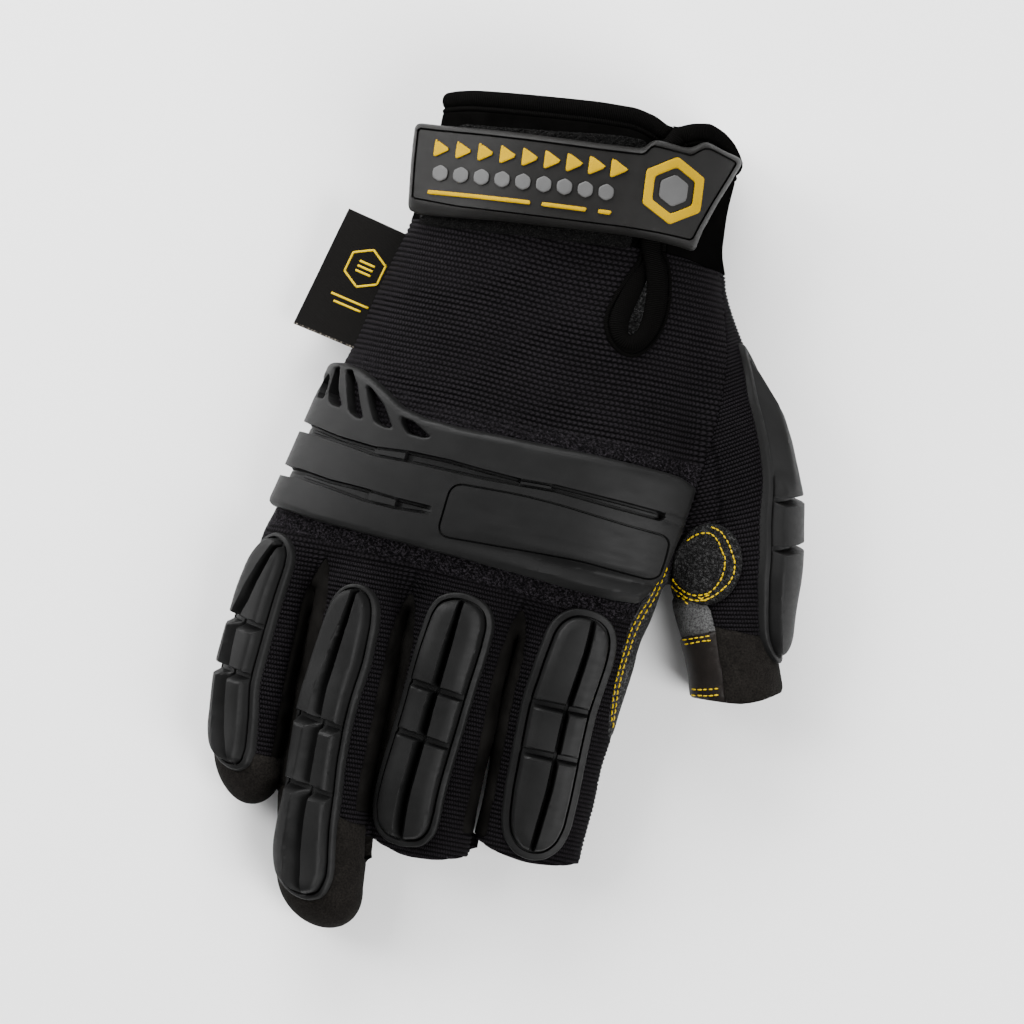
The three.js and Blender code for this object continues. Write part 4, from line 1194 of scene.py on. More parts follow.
def knuckle_guard(material):
    """The plate on a grid round the hand, cut along every line at which its face bends."""
    rows = np.arange(-21.0, 35, PLATE_CELL)
    p = np.concatenate([hand_row(y, PLATE_COLUMNS) for y in rows])
    n = unit(gradient(hand_field, p))
    v, t = np.hstack([p, n]), facing(p, grid_triangles(len(rows), PLATE_COLUMNS), n)
    v, t = cut_out(v, t, guard_inset_plan(v), PLATE_STEPS, 0.04)
    v, t, f, _ = knife(v, t, vents(v), VENT_STEPS, 0.04)
    v, t = compact(v, t[f[t].mean(1) < 0])
    for channel in (UPPER_CHANNEL, LOWER_CHANNEL):
        v, t, _, _ = knife(v, t, channel_place(channel, v)[0], CHANNEL_STEPS, 0.03)
        v, t, _, _ = knife(v, t, channel_place(channel, v)[1], LOW_GAP, 0.03)
        bar_steps = [x for x, _ in channel["depth"]]
        v, t, _, _ = knife(v, t, raised(v)[:, 0], bar_steps + list(channel["end"]), 0.02)
    v, t, _, _ = knife(v, t, PANEL(raised(v)), PANEL_STEPS, 0.02)
    face = raised(v)
    low_edge = line_distance(LOW_EDGE, face)
    roll = np.interp(low_edge, *np.array(ROLL_OFF).T)
    roll *= np.interp(face[:, 0], [-22, 12], [0, 1])
    crown = 0.5 * bump(low_edge - 3.4, 1.5) * smooth_step(face[:, 0], -5, 15)
    height = np.interp(guard_inset_plan(v), PLATE_STEPS, [-GUARD_SINK - GUARD_PROUD, -1.9, -1.0, -0.3, 0])
    height = GUARD_PROUD + np.minimum(height, np.where(face[:, 1] < 0, roll, 0)) + crown
    height -= BEVEL_SLOPE * np.maximum(BEVEL_WIDTH - line_distance(TOP_EDGE, face), 0)
    height += np.interp(vents(v), VENT_STEPS, [0, -0.12, -0.5])
    for channel in (UPPER_CHANNEL, LOWER_CHANNEL):
        height += channel_height(channel, v)
    for line in CONTINUATION:
        height -= 0.35 * bump(line_distance(line, face), 0.45)
    height += np.interp(PANEL(face), [-0.36] + PANEL_STEPS + [0.36], [0, 0, -0.9, -0.9, 0, 0])
    height -= 0.3 * bump(line_distance(ROLL_LINE, face), 0.7)
    shell("knuckle_guard", off(v, height), t, off(v, -GUARD_SINK - 0.4), material, "rubber", sharp=MOULDED)


# Sheets that lie on the skin, on a grid in plan
OVERHEAD = 52.0  # a height above the whole glove


def top_of_skin(x, y):
    """Height of the skin seen from above."""
    z = np.full(len(x), OVERHEAD)
    for _ in range(45):
        z = z - 0.9 * np.clip(skin(np.stack([x, y, z], 1)), -1, 3)
    return z


def on_skin(x, y):
    """Positions and normals of plan points on the skin."""
    p = np.stack([x, y, top_of_skin(x, y)], 1)
    return np.hstack([p, unit(gradient(skin, p))])


def plan_grid(inside, box, cell, levels, snap=0.1):
    """A grid in plan, cut off outside a field and sliced at its levels."""
    left, low, right, high = box
    xs = np.arange(left, right + cell, cell)
    ys = np.arange(low, high + cell, cell)
    v = grid_points(xs, ys)
    return cut_out(v, grid_triangles(len(ys), len(xs)), inside(v), levels, snap)


def joined(parts):
    """Several meshes as one. Each is its points, its faces and perhaps the weave at its points."""
    start = np.cumsum([0] + [len(part[0]) for part in parts])
    faces = np.concatenate([part[1] + n for part, n in zip(parts, start)])
    points, *weaves = [np.concatenate([part[i] for part in parts]) for i in (0, 2) if i < len(parts[0])]
    return [points, faces, *weaves]


def smooth_path(points, count, rounds=3):
    """A smooth curve near some points, as evenly spaced points."""
    path = np.array(points, float)
    for _ in range(rounds):
        pairs = np.stack([path[:-1] * 0.75 + path[1:] * 0.25, path[:-1] * 0.25 + path[1:] * 0.75], 1)
        path = np.vstack([path[:1], pairs.reshape(-1, path.shape[1]), path[-1:]])
    length = run_length(path[:, :2])
    return at_length(path, length, np.linspace(0, length[-1], count))


def tube(path, up, wide, high, sides=12):
    """A closed tube along a path, wide across it and high along its up vectors, with rounded ends."""
    wide, high = [np.broadcast_to(size, len(path))[:, None] for size in (wide, high)]
    along = unit(np.gradient(path, axis=0))
    up = unit(up - along * (up * along).sum(1)[:, None])
    angles = np.arange(sides)[:, None] * 2 * math.pi / sides
    rings = [
        centre + np.cos(angles) * right + np.sin(angles) * top
        for centre, right, top in zip(path, np.cross(along, up) * wide, up * high)]
    ends = [path[:1] - along[:1] * high[0] * 0.5, path[-1:] + along[-1:] * high[-1] * 0.5]
    k = np.arange(sides)
    nxt = (k + 1) % sides
    first, last = len(path) * sides, (len(path) - 1) * sides
    faces = []
    for a in range(0, last, sides):
        b = a + sides
        faces += [np.stack([a + k, a + nxt, b + nxt], 1), np.stack([a + k, b + nxt, b + k], 1)]
    faces.append(np.stack([np.full(sides, first), nxt, k], 1))
    faces.append(np.stack([np.full(sides, first + 1), last + k, last + nxt], 1))
    return np.concatenate(rings + ends), np.concatenate(faces)


# Cuff: two lobes, parted by a slit down the back. The thumb side's lobe lies over the other one.
SLIT_FROM_Z = 24.0
SEWN = 60  # degrees between faces that a sewn cloth shows as an edge
LOBE_LIFT = 2.9
OVER_WALL = 1.9
SLIT_X = 21.7
SLIT_MOUTH = [(SLIT_X, 124), (SLIT_X, 115.5)]
OVER_EDGE = plan_curve(
    SLIT_MOUTH + [(19.6, 111.6), (17.6, 108), (17.3, 100), (18.2, 92), (19.6, 84), (20.6, 78)],
    1.0, across=False)
UNDER_EDGE = plan_curve(
    SLIT_MOUTH + [(26, 111), (28.4, 106), (28.4, 98), (26.5, 88), (25, 78)], 1.0, across=False)
SLIT_YS = np.arange(115.5, 76, -1.5)
MOUTH_XS = np.arange(-60, 60.1, 1.5)
MOUTH_LINE = np.stack([MOUTH_XS, MOUTH(MOUTH_XS)], 1)
UNDER_LINE = np.vstack([MOUTH_LINE[MOUTH_XS < SLIT_X], np.stack([UNDER_EDGE(SLIT_YS), SLIT_YS], 1)])
OVER_LINE = np.vstack([MOUTH_LINE[MOUTH_XS > SLIT_X][::-1], np.stack([OVER_EDGE(SLIT_YS), SLIT_YS], 1)])
HEM_WIDTH = 6.1
# Rolled hem: distance from the edge, height of the outer face, height of the inner face
HEM = np.array([
    (0.0, -1.25, -1.35), (0.15, -0.5, -2.2), (0.5, 0.25, -2.7), (1.1, 0.75, -3.0), (2.0, 0.95, -3.1),
    (3.0, 0.85, -3.0), (3.8, 0.5, -2.8), (4.3, 0.05, -2.6), (4.6, -0.4, -2.6), (4.9, 0.05, -2.6),
    (5.3, 0.3, -2.6), (5.8, 0.15, -2.6), (6.1, -0.35, -2.6), (6.4, -0.05, -2.6), (6.9, 0.0, -2.6),
])


def from_edge(p, over):
    """Distance from the hemmed edge of the upper or the under lobe."""
    if over:
        return line_distance(OVER_LINE, p)
    back = (p[:, 2] > SLIT_FROM_Z) | (p[:, 0] < 0)
    return np.where(back, line_distance(UNDER_LINE, p), line_distance(MOUTH_LINE, p))


def lobe(mesh, over):
    """The hem and the panel of one lobe of the cuff, each as points and faces."""
    v, t, e, _ = knife(*mesh, from_edge(mesh[0], over), HEM[1:, 0], 0.06)
    made = []
    for part in (e[t].mean(1) < HEM_WIDTH, e[t].mean(1) > HEM_WIDTH):
        pv, pt = compact(v, t[part])
        pe = from_edge(pv, over)
        outer, inner = [np.interp(pe, HEM[:, 0], column) for column in HEM[:, 1:].T]
        if over:
            x, y, _ = pv[:, :3].T
            lift = LOBE_LIFT * (1 - smooth_step(x, UNDER_EDGE(y) + 1, UNDER_EDGE(y) + 14))
            seam = smooth_step(x, UNDER_EDGE(y) + 0.3, UNDER_EDGE(y) + 1.5) * (1 - smooth_step(y, 82, 86))
            outer, inner = outer + lift, lift * (1 - seam) + inner * OVER_WALL / CUFF_WALL
        station = line_station(OVER_LINE if over else UNDER_LINE, pv)
        made.append(walled(off(pv, outer), pt, off(pv, inner), np.stack([station, pe], 1)))
    return made


def cuff(neoprene, binding):
    over, _ = split(cuff_mesh, lambda p: np.minimum(p[:, 2] - SLIT_FROM_Z, p[:, 0] - OVER_EDGE(p[:, 1])))
    under, _ = split(cuff_mesh, lambda p: np.maximum(SLIT_FROM_Z - p[:, 2], UNDER_EDGE(p[:, 1]) - p[:, 0]))
    lobes = [lobe(under, False), lobe(over, True)]
    for i, (name, material) in enumerate([("cuff_binding", binding), ("cuff", neoprene)]):
        points, faces, uv = joined([pair[i] for pair in lobes])
        make_object(name, points, faces, material, "neoprene", uv=uv, sharp=SEWN)


# Loop patch: brushed pile on the under lobe, beneath the closure tab
LOOP_PATCH = rounded([
    (-43.4, 75.2), (-41, 74.4), (-20, 76.2), (0, 77.8), (17.3, 79.4), (17.6, 100), (15.8, 110.6), (8, 110.4),
    (2, 109.6), (-12, 107.6), (-26, 105.9), (-36, 105.2), (-38, 104), (-41.5, 103)], 1.0)
PATCH_HEIGHT = 0.75
PATCH_ROUGHNESS = 0.16
PATCH_BOX = (-46, 72, 20, 114)
PATCH_CELL = 0.6
PATCH_STEPS = [0, 0.3, 0.8]


def loop_patch(material):
    """A sheet on the skin with a rough face."""
    inside = polygon_field(LOOP_PATCH)
    v, t = plan_grid(inside, PATCH_BOX, PATCH_CELL, PATCH_STEPS)
    base = on_skin(*v.T)
    rough = np.random.default_rng(3).normal(0, PATCH_ROUGHNESS, len(v))
    height = np.interp(inside(v), PATCH_STEPS, [-0.6, PATCH_HEIGHT - 0.3, PATCH_HEIGHT]) + rough
    shell("loop_patch", off(base, height), t, off(base, -1.2), material, "pile", weave=v, sharp=0)


# Keyhole: a flat tape round a teardrop, and inside it a rolled edge that crosses over itself at the top
TAPE = rounded([
    (22.5, 88), (27.0, 80.7), (28.8, 78.9), (30.7, 73.5), (31.7, 68), (31.9, 63.4), (31, 58), (29, 53.5),
    (26.2, 50.3), (23, 49.2), (19.3, 50.2), (16.1, 53), (14.2, 56.6), (13.9, 60.6), (15.3, 66.1), (17.2, 71),
    (19.7, 76.5), (20.6, 84)], 1.0, 2)
TAPE_WIDTH = 4.2
TAPE_BOX = (12, 48, 34, 90)
TAPE_CELL = 0.7
TAPE_STEPS = [0, 0.15, 0.5, 1.05, 1.3, 1.55]
ROLL_SIDES = 20
ROLL_POINTS = 90
# Rolled edge: x, y, height of its middle over the skin, half width, half height
ROLL = [
    (20.4, 86.5, 2.2, 2.5, 1.9), (21.6, 82, 2.1, 2.6, 1.9), (23.4, 78.2, 2.0, 2.6, 1.9),
    (25.1, 74.2, 1.8, 2.7, 1.9), (26.3, 70, 1.6, 2.8, 1.9), (26.8, 65.8, 1.4, 2.8, 1.9),
    (27.0, 61.2, 1.2, 2.8, 1.8), (26.3, 57.2, 1.0, 2.6, 1.7), (24.3, 54.4, 0.8, 2.2, 1.6),
    (21.8, 53.5, 0.8, 2.1, 1.6), (19.4, 54.8, 0.8, 2.4, 1.6), (18.3, 57.8, 0.8, 2.7, 1.6),
    (18.4, 61, 0.7, 2.8, 1.6), (19.2, 64.6, 0.5, 2.8, 1.6), (20.3, 69, 0.2, 2.7, 1.5),
    (21.4, 73.5, -0.4, 2.6, 1.4), (22.6, 78, -1.0, 2.4, 1.2), (23.6, 83, -1.2, 2.2, 1.1)]


def keyhole(material):
    inside = polygon_field(TAPE)
    v, t = plan_grid(inside, TAPE_BOX, TAPE_CELL, TAPE_STEPS + [TAPE_WIDTH])
    v, t = compact(v, t[inside(v)[t].mean(1) < TAPE_WIDTH])
    base = on_skin(*v.T)
    height = np.interp(inside(v), TAPE_STEPS + [2.2], [-0.6, 0.35, 0.75, 0.8, 0.35, 0.75, 0.8])
    station = line_station(np.vstack([TAPE, TAPE[:1]]), v)
    tape = walled(off(base, height), t, off(base, -2.0), np.stack([station, inside(v)], 1))
    path = smooth_path(ROLL, ROLL_POINTS)
    base = on_skin(path[:, 0], path[:, 1])
    points, faces = tube(off(base, path[:, 2]), base[:, 3:6], path[:, 3], path[:, 4], ROLL_SIDES)
    length = run_length(path[:, :2])
    station = np.concatenate([np.repeat(length, ROLL_SIDES), [0, length[-1]]])
    roll = (points, faces, np.stack([station, np.zeros(len(points))], 1))
    points, faces, uv = joined([tape, roll])
    make_object("keyhole_binding", points, faces, material, "neoprene", uv=uv, sharp=SEWN)


# Closure tab: moulded rubber with a raised rim, a thin groove inside it and raised motifs
TAB_LIFT = 3.0
TAB_CROWN = 2  # x of the cuff's crown under the tab
TAB_ARCH = {"reach": (41.2, 45.6), "side": (22, 19.6), "top": 46}  # of the cuff, the thumb's side first
TAB_THICK = 3.1
TAB_FACE = TAB_THICK - 0.35  # height of the face inside the rim
TAB_BUMP = 1.3  # how much higher the tab runs over the upper lobe
TAB_STRAIGHT_X = -33
TAB_OUTLINE = rounded([
    (-49.9, 101.7), (-49, 92.5), (-47.7, 83.5), (-47.1, 79.3), (-46.2, 77.6), (-43, 77.2), (-32.6, 78.1),
    (-19.7, 79.6), (-7.9, 80.7), (3, 81.7), (13.3, 82.7), (24, 83.1), (31, 82.9), (35.1, 82.6), (36.1, 88.4),
    (38.8, 97.4), (41.7, 105.3), (43.5, 110.6), (42.6, 111.7), (38, 112.4), (32.4, 113.7), (30.9, 113.2),
    (28, 110.9), (26, 110.6), (18.6, 111), (16.6, 110.2), (14.9, 107.7), (3, 106.6), (-7.9, 105.8),
    (-19.7, 105), (-32.6, 104), (-43, 103.1), (-48.9, 102.8)], 0.7, 2)
TAB_FIELD = rounded([
    (-48.7, 101.1), (-47.6, 91), (-46.2, 81.3), (-32.6, 81.2), (-20.7, 82), (-8, 83), (0.5, 83.7), (13, 84.8),
    (24, 85.4), (33.7, 85.5), (34.9, 90), (37.2, 97.2), (40, 105), (41.7, 110), (33.3, 111.8), (31.6, 111.4),
    (28.6, 108.7), (17.4, 108.9), (15.4, 105.9), (3, 104.7), (-19.7, 103.1), (-43, 101.4)], 0.5, 1)
TAB_BOX = (-51, 76, 44.8, 115)
TAB_CELL = 0.8
TAB_CORNER = (-46.5, 78.4)  # its free end's lower corner
TAB_TURN = math.radians(4.6)
TAB_STEPS = [0, 0.2, 0.6, 1.2]
GROOVE_STEPS = [-0.3, -0.12, 0.12, 0.3]
MOTIF_STEPS = [0, 0.12, 0.35]
MOTIF_ROUND = 0.35
tab_outline, tab_field = polygon_field(TAB_OUTLINE), polygon_field(TAB_FIELD)


def cuff_top(x):
    """Height of the tab's underside over the cuff."""
    reach, side = [np.where(x > TAB_CROWN, *TAB_ARCH[key]) for key in ("reach", "side")]
    share = np.minimum(np.abs(x - TAB_CROWN) / (reach + TAB_LIFT), 1)
    return side + (TAB_ARCH["top"] + TAB_LIFT - side) * (1 - share**BACK_POWER) ** (1 / BACK_POWER)


def tab_base(x):
    """Height of the tab's underside. Left of the cuff the tab runs on straight."""
    before, start, after = cuff_top(TAB_STRAIGHT_X + np.array([-0.5, 0, 0.5]))
    base = np.where(x >= TAB_STRAIGHT_X, cuff_top(x), start + (after - before) * (x - TAB_STRAIGHT_X))
    return base + TAB_BUMP * smooth_step(x, 10, 18) * (1 - 0.6 * smooth_step(x, 26, 40))


def tab_top(v):
    """Height of the tab's face over its underside: the rim, the groove and the flat field inside it."""
    d, g = tab_outline(v), tab_field(v)
    share = np.clip(d / np.maximum(d + np.abs(g), 1e-6), 0, 1)
    rim = np.interp(share, [0, 0.08, 0.25, 0.55, 0.85, 1], [0.5, 1.3, 2.1, 2.9, 3.2, 3.2])
    return np.where(g > 0, TAB_FACE, rim) - np.interp(np.abs(g), GROOVE_STEPS[2:], [1.0, 0])


def closure_tab(material):
    v, t = plan_grid(tab_outline, TAB_BOX, TAB_CELL, TAB_STEPS, 0.06)
    v, t, _, _ = knife(v, t, tab_field(v), GROOVE_STEPS, 0.03)
    base = tab_base(v[:, 0])
    outer, inner = np.column_stack([v, base + tab_top(v)]), np.column_stack([v, base])
    shell("closure_tab", outer, t, inner, material, "rubber", weave=v, sharp=40)


def tab_point(u, w):
    """A plan point of the tab: u along it from its free end, w across it from its lower edge."""
    x, y = TAB_CORNER
    c, s = math.cos(TAB_TURN), math.sin(TAB_TURN)
    return x + u * c - w * s, y + u * s + w * c


def regular(u, w, radius, sides, start=0.0):
    angles = np.radians(start) + np.arange(sides) * 2 * math.pi / sides
    return [tab_point(u + radius * math.cos(a), w + radius * math.sin(a)) for a in angles]


def bar(u0, u1, w, half=0.6):
    return [tab_point(*end) for end in [(u0, w - half), (u1, w - half), (u1, w + half), (u0, w + half)]]


def raised_motif(name, fields, material):
    """Flat shapes that stand up from the tab, as one piece."""
    parts = []
    for field, box in fields:
        v, t = plan_grid(field, box, TAB_CELL, MOTIF_STEPS, 0.05)
        height = TAB_FACE + np.interp(field(v), MOTIF_STEPS, [0.3, 0.58, 0.65])
        base = tab_base(v[:, 0])
        parts.append(thicken(
            np.column_stack([v, base + height]), t, np.column_stack([v, base + TAB_THICK - 0.8])))
    make_object(name, *joined(parts), material, "rubber", replaced=())


def shape(ring, hole=None):
    """The field of a shape with rounded corners, perhaps with a hole, and the box round it."""
    outer = polygon_field(rounded(ring, MOTIF_ROUND, 2))
    xs, ys = np.array(ring).T
    box = (xs.min() - 0.5, ys.min() - 0.5, xs.max() + 0.5, ys.max() + 0.5)
    if hole is None:
        return outer, box
    inner = polygon_field(rounded(hole, MOTIF_ROUND, 2))
    return (lambda v: np.minimum(outer(v), -inner(v))), box


def badge(radius):
    """A hexagon at the tab's wide end."""
    return regular(73.5, 13.6, radius, 6, 30)


def tab_motifs(yellow, grey):
    triangles = [shape(regular(6.5 + 6.3 * i, 17.6, (2.5 + 0.035 * i) * 1.25, 3)) for i in range(9)]
    stripes = [shape(bar(*ends, 5.0)) for ends in [(4.5, 34), (37, 50), (53, 57)]]
    raised_motif("tab_motif_yellow", triangles + stripes + [shape(badge(9.6), badge(6.6))], yellow)
    hexagons = [shape(regular(7.5 + 5.9 * i, 10.6, 2.5, 6, 30)) for i in range(9)]
    raised_motif("tab_motif_grey", hexagons + [shape(badge(4.6))], grey)


# Leather patch over the crotch of the thumb
CROTCH = {"x": 57.6, "y": -3.0, "half_x": 9.9, "half_y": 11.8, "from_z": 14.0}
CROTCH_STEPS = [0, 0.15, 0.45, 0.9]


def crotch_field(v):
    r = np.hypot((v[:, 0] - CROTCH["x"]) / CROTCH["half_x"], (v[:, 1] - CROTCH["y"]) / CROTCH["half_y"])
    return (1 - r) * (CROTCH["half_x"] + CROTCH["half_y"]) / 2


def crotch_patch(material):
    (v, t), _ = split(kept, lambda p: np.minimum(crotch_field(p), p[:, 2] - CROTCH["from_z"]))
    v, t, d, _ = knife(v, t, crotch_field(v), CROTCH_STEPS[1:], 0.05)
    height = np.interp(d, CROTCH_STEPS, [-0.5, 0.55, 0.95, 1.1])
    shell("crotch_patch", off(v, height), t, off(v, -0.9), material, "leather", sharp=SEWN)


# Woven label, folded, its open ends sewn into the little finger side of the hand
LABEL_CORNERS = np.array([(-63.6, 75.6, 13.4), (-41, 70.3, 21), (-49.5, 35.5, 19), (-72.6, 40, 9.4)])
LABEL_CLOTH = 0.36
LABEL_SIZE = (22.6, 36.5)  # from fold to seam, and along the fold
LABEL_UP = np.array([-0.33, 0.1, 0.94])
FOLD_RADIUS = 0.26
LABEL_BOW = 1.2  # how far its middle rises between the fold and the seam
LABEL_WAVE = 0.5  # height of the wave along its fold
LABEL_COLUMNS = 34  # across each of its two layers
LABEL_ROWS = 60


def label_point(s, r):
    """A point of the label's middle: s from its fold to its seam, r from its wrist end to its finger end."""
    a, b, c, d = LABEL_CORNERS
    flat = (a * (1 - s)[:, None] + b * s[:, None]) * (1 - r)[:, None]
    flat = flat + (d * (1 - s)[:, None] + c * s[:, None]) * r[:, None]
    flat[:, 2] += LABEL_BOW * np.sin(math.pi * s) * (1 - 0.5 * r) + LABEL_WAVE * np.sin(5 * r + 1) * (1 - s)
    return flat


def side_label(material):
    shares = np.linspace(0.0, 1, LABEL_COLUMNS)
    fold = np.radians([-60, -30, 0, 30, 60])
    flat = np.full(LABEL_COLUMNS, math.pi / 2)
    s = np.concatenate([shares[::-1], -np.cos(fold) * FOLD_RADIUS / LABEL_SIZE[0], shares])
    rows = np.linspace(0, 1, LABEL_ROWS)
    ss, rr = grid_points(s, rows).T
    turns = np.tile(np.concatenate([-flat, fold, flat]), len(rows))
    out = unit(label_point(np.zeros(1), np.zeros(1)) - label_point(np.ones(1), np.zeros(1)))
    n = np.cos(turns)[:, None] * out + np.sin(turns)[:, None] * LABEL_UP
    middle = label_point(ss, rr) + LABEL_UP * (FOLD_RADIUS * np.sin(turns))[:, None]
    t = facing(middle, grid_triangles(len(rows), len(s)), n)
    uv = np.stack([np.where(turns < 0, -1, 1) * ss * LABEL_SIZE[0], rr * LABEL_SIZE[1]], 1)
    half = n * LABEL_CLOTH / 2
    made = shell("side_label", middle + half, t, middle - half, material, "label", weave=uv)


# Stitches: dashes of thread along plan lines. A row has its line, pitch, dash, height and radius.
PATCH_TOP = 1.15
LEATHER_LINES = [
    [(46.6, -6), (45.9, -11.4), (45, -15.5), (43.4, -19.6), (42, -24), (41.3, -28), (40.7, -33), (40.2, -38),
     (40.1, -43), (40.4, -47), (40.8, -52), (41.2, -56)],
    [(45.5, -8.5), (44.3, -13.5), (43.1, -17.4), (41.4, -21.4), (40.1, -26.4), (39.7, -31), (39.2, -37),
     (39.1, -42), (39.3, -46), (39.9, -50.5), (40.6, -54.5)],
]
RING_LINES = [
    [(50.2, 2.4), (51.8, 4.2), (54, 5.6), (56.7, 6.1), (58.8, 4.7), (60.8, 2.2), (62.4, 0.2), (63, -2.4),
     (62.8, -5.9), (61.6, -9), (60, -11), (57.4, -12.3), (54.8, -12.5), (52.6, -11.2), (50.4, -9.5),
     (48.9, -8)],
    [(56.2, 7.9), (59, 7.4), (61.4, 5.5), (63.4, 3), (65, 0.2), (65.8, -3.2), (65.2, -6.8), (62.8, -10.2),
     (60.6, -12.4), (57.6, -13.9), (54.8, -13.7), (52.8, -12.7), (50.8, -11.4), (49, -9.8)],
]
THUMB_LINES = [
    [(54.4, -26), (57, -25.1), (60.2, -23.8), (63.4, -22.5)],
    [(55.2, -27.3), (58.3, -26), (61.2, -24.6), (64.4, -23.7)],
    [(59.9, -38.8), (62.4, -38.8), (65.9, -37.8), (69.6, -36.6)],
    [(60.2, -40.8), (62.5, -40.5), (66.3, -39.6), (70, -38.4)],
    [(51.3, -13.2), (52.8, -13.6), (54.4, -14.9), (55.2, -15.3)],
]
KNOT_LINES = [[(57.4, -12.5), (59.1, -13.4), (60.3, -12.6)], [(58.1, -13.3), (59.2, -12), (60.6, -11.2)]]
ROWS = [(LEATHER_LINES[0], 1.9, 1.25, 0.0, 0.24), (LEATHER_LINES[1], 1.9, 1.2, -0.06, 0.23)]
ROWS += [(line, 1.55, 1.1, PATCH_TOP, 0.22) for line in RING_LINES + KNOT_LINES]
ROWS += [(line, 1.5, 1.0, HEM_LIFT + 0.05, 0.21) for line in THUMB_LINES]
DASH_ARCH = np.array([-0.5, 0.35, 0.6, 0.35, -0.5])  # height of the points of a dash, in radii
DASH_WIDTH = np.array([0.7, 1, 1.05, 1, 0.7])  # half width of the points of a dash, in radii
DASH_POINTS = len(DASH_ARCH)
DASH_SHARES = np.linspace(0, 1, DASH_POINTS)
DASH_FALL = 2.4  # a dash that falls by more than this would hang over an edge, and is left out


def dash_points(rows, seed):
    """Plan points of all dashes, with their height over the skin and their radius."""
    chance = np.random.default_rng(seed)
    found = []
    for line, pitch, dash, lift, radius in rows:
        path = smooth_path(line, 200)
        length = run_length(path)
        for start in np.arange(0.2, length[-1] - dash, pitch):
            at = start + chance.uniform(-0.12, 0.12) + dash * DASH_SHARES * chance.uniform(0.85, 1.1)
            side = chance.uniform(-0.08, 0.08)
            found.append(np.column_stack([
                at_length(path, length, at) + side, lift + DASH_ARCH * radius, np.full(DASH_POINTS, radius)]))
    return np.concatenate(found)


def stitches(material):
    dashes = dash_points(ROWS, 5)
    base = on_skin(dashes[:, 0], dashes[:, 1])
    centre = off(base, dashes[:, 2])
    parts = []
    for i in range(0, len(dashes), DASH_POINTS):
        dash, radius = slice(i, i + DASH_POINTS), dashes[i, 3]
        if np.ptp(base[dash, 2]) <= DASH_FALL:
            parts.append(tube(centre[dash], base[dash, 3:6], radius * DASH_WIDTH, radius * 0.85, 8))
    make_object("yellow_stitches", *joined(parts), material, "thread", replaced=(), sharp=0)


# Woven figure on the label: lines of thread, given by their share from the fold and their share along it
LABEL_FIGURE = [
    [(0.28, 0.3), (0.5, 0.22), (0.72, 0.3), (0.72, 0.46), (0.5, 0.54), (0.28, 0.46), (0.28, 0.3)],
    [(0.4, 0.34), (0.6, 0.34)],
    [(0.4, 0.38), (0.6, 0.38)],
    [(0.4, 0.42), (0.6, 0.42)],
    [(0.25, 0.66), (0.75, 0.66)],
    [(0.32, 0.71), (0.68, 0.71)],
]
FIGURE_THREAD = (0.34, 0.16)  # half width, half height
FIGURE_POINTS = 12  # along each line


def label_figure(material):
    parts = []
    for line in LABEL_FIGURE:
        line = np.array(line)
        for a, b in zip(line[:-1], line[1:]):
            share = np.linspace(0, 1, FIGURE_POINTS)[:, None]
            s, r = (a * (1 - share) + b * share).T
            centre = label_point(s, r) + LABEL_UP * (FOLD_RADIUS + LABEL_CLOTH / 2 + 0.02)
            parts.append(tube(centre, np.tile(LABEL_UP, (FIGURE_POINTS, 1)), *FIGURE_THREAD, 8))
    make_object("label_figure", *joined(parts), material, "thread", replaced=(), sharp=0)


# Materials. Patterns run in the glove's own frame or along the weave, in metres.
class Wire:
    """A socket of a node tree, which sums and products can be written with."""

    def __init__(self, socket):
        self.socket, self.tree = socket, socket.id_data

    def calc(self, operation, other=0.0):
        return node(self.tree, "Math", {0: self, 1: other}, operation=operation)

    def __add__(self, other):
        return self.calc("ADD", other)

    def __sub__(self, other):
        return self.calc("SUBTRACT", other)

    def __rsub__(self, other):
        return node(self.tree, "Math", {0: other, 1: self}, operation="SUBTRACT")

    def __mul__(self, other):
        return self.calc("MULTIPLY", other)

    def __truediv__(self, other):
        return self.calc("DIVIDE", other)

    def __pow__(self, other):
        return self.calc("POWER", other)

    def __abs__(self):
        return self.calc("ABSOLUTE")

    def fract(self):
        return self.calc("FRACT")

    def zigzag(self):
        """1 at both ends of a step from 0 to 1, and 0 in its middle."""
        return abs(self * 2.0 - 1.0)

    def spread(self, low, high, to_low=0.0, to_high=1.0):
        """Mapped from one range to another and held inside it."""
        return node(self.tree, "MapRange", {0: self, 1: low, 2: high, 3: to_low, 4: to_high})


def connect(socket, value):
    if isinstance(value, Wire):
        value.tree.links.new(value.socket, socket)
    else:
        socket.default_value = value


def node(tree, kind, inputs=(), output=0, **settings):
    """A new node with its settings and with values or wires on its inputs. Gives the wire from one output."""
    made = tree.nodes.new("ShaderNode" + kind)
    for key, value in settings.items():
        setattr(made, key, value)
    for key, value in dict(inputs).items():
        connect(made.inputs[key], value)
    return Wire(made.outputs[output])


def axes(vector):
    """The X, Y and Z of a vector."""
    found = node(vector.tree, "SeparateXYZ", {0: vector}).socket.node
    return [Wire(socket) for socket in found.outputs]


def blend(share, a, b):
    return node(share.tree, "Mix", {0: share, 6: a, 7: b}, output=2, data_type="RGBA")


def noise(where, size, detail=2.0, rough=0.5):
    """Noise whose marks are about this many metres wide."""
    inputs = {"Vector": where, "Scale": 1 / size, "Detail": detail, "Roughness": rough}
    return node(where.tree, "TexNoise", inputs)


def clouds(where, size, dark, light):
    """A colour that drifts between two."""
    return blend(noise(where, size, 3.0).spread(0.3, 0.7), dark, light)


def cells(where, size, feature="F1"):
    return node(where.tree, "TexVoronoi", {"Vector": where, "Scale": 1 / size}, feature=feature)


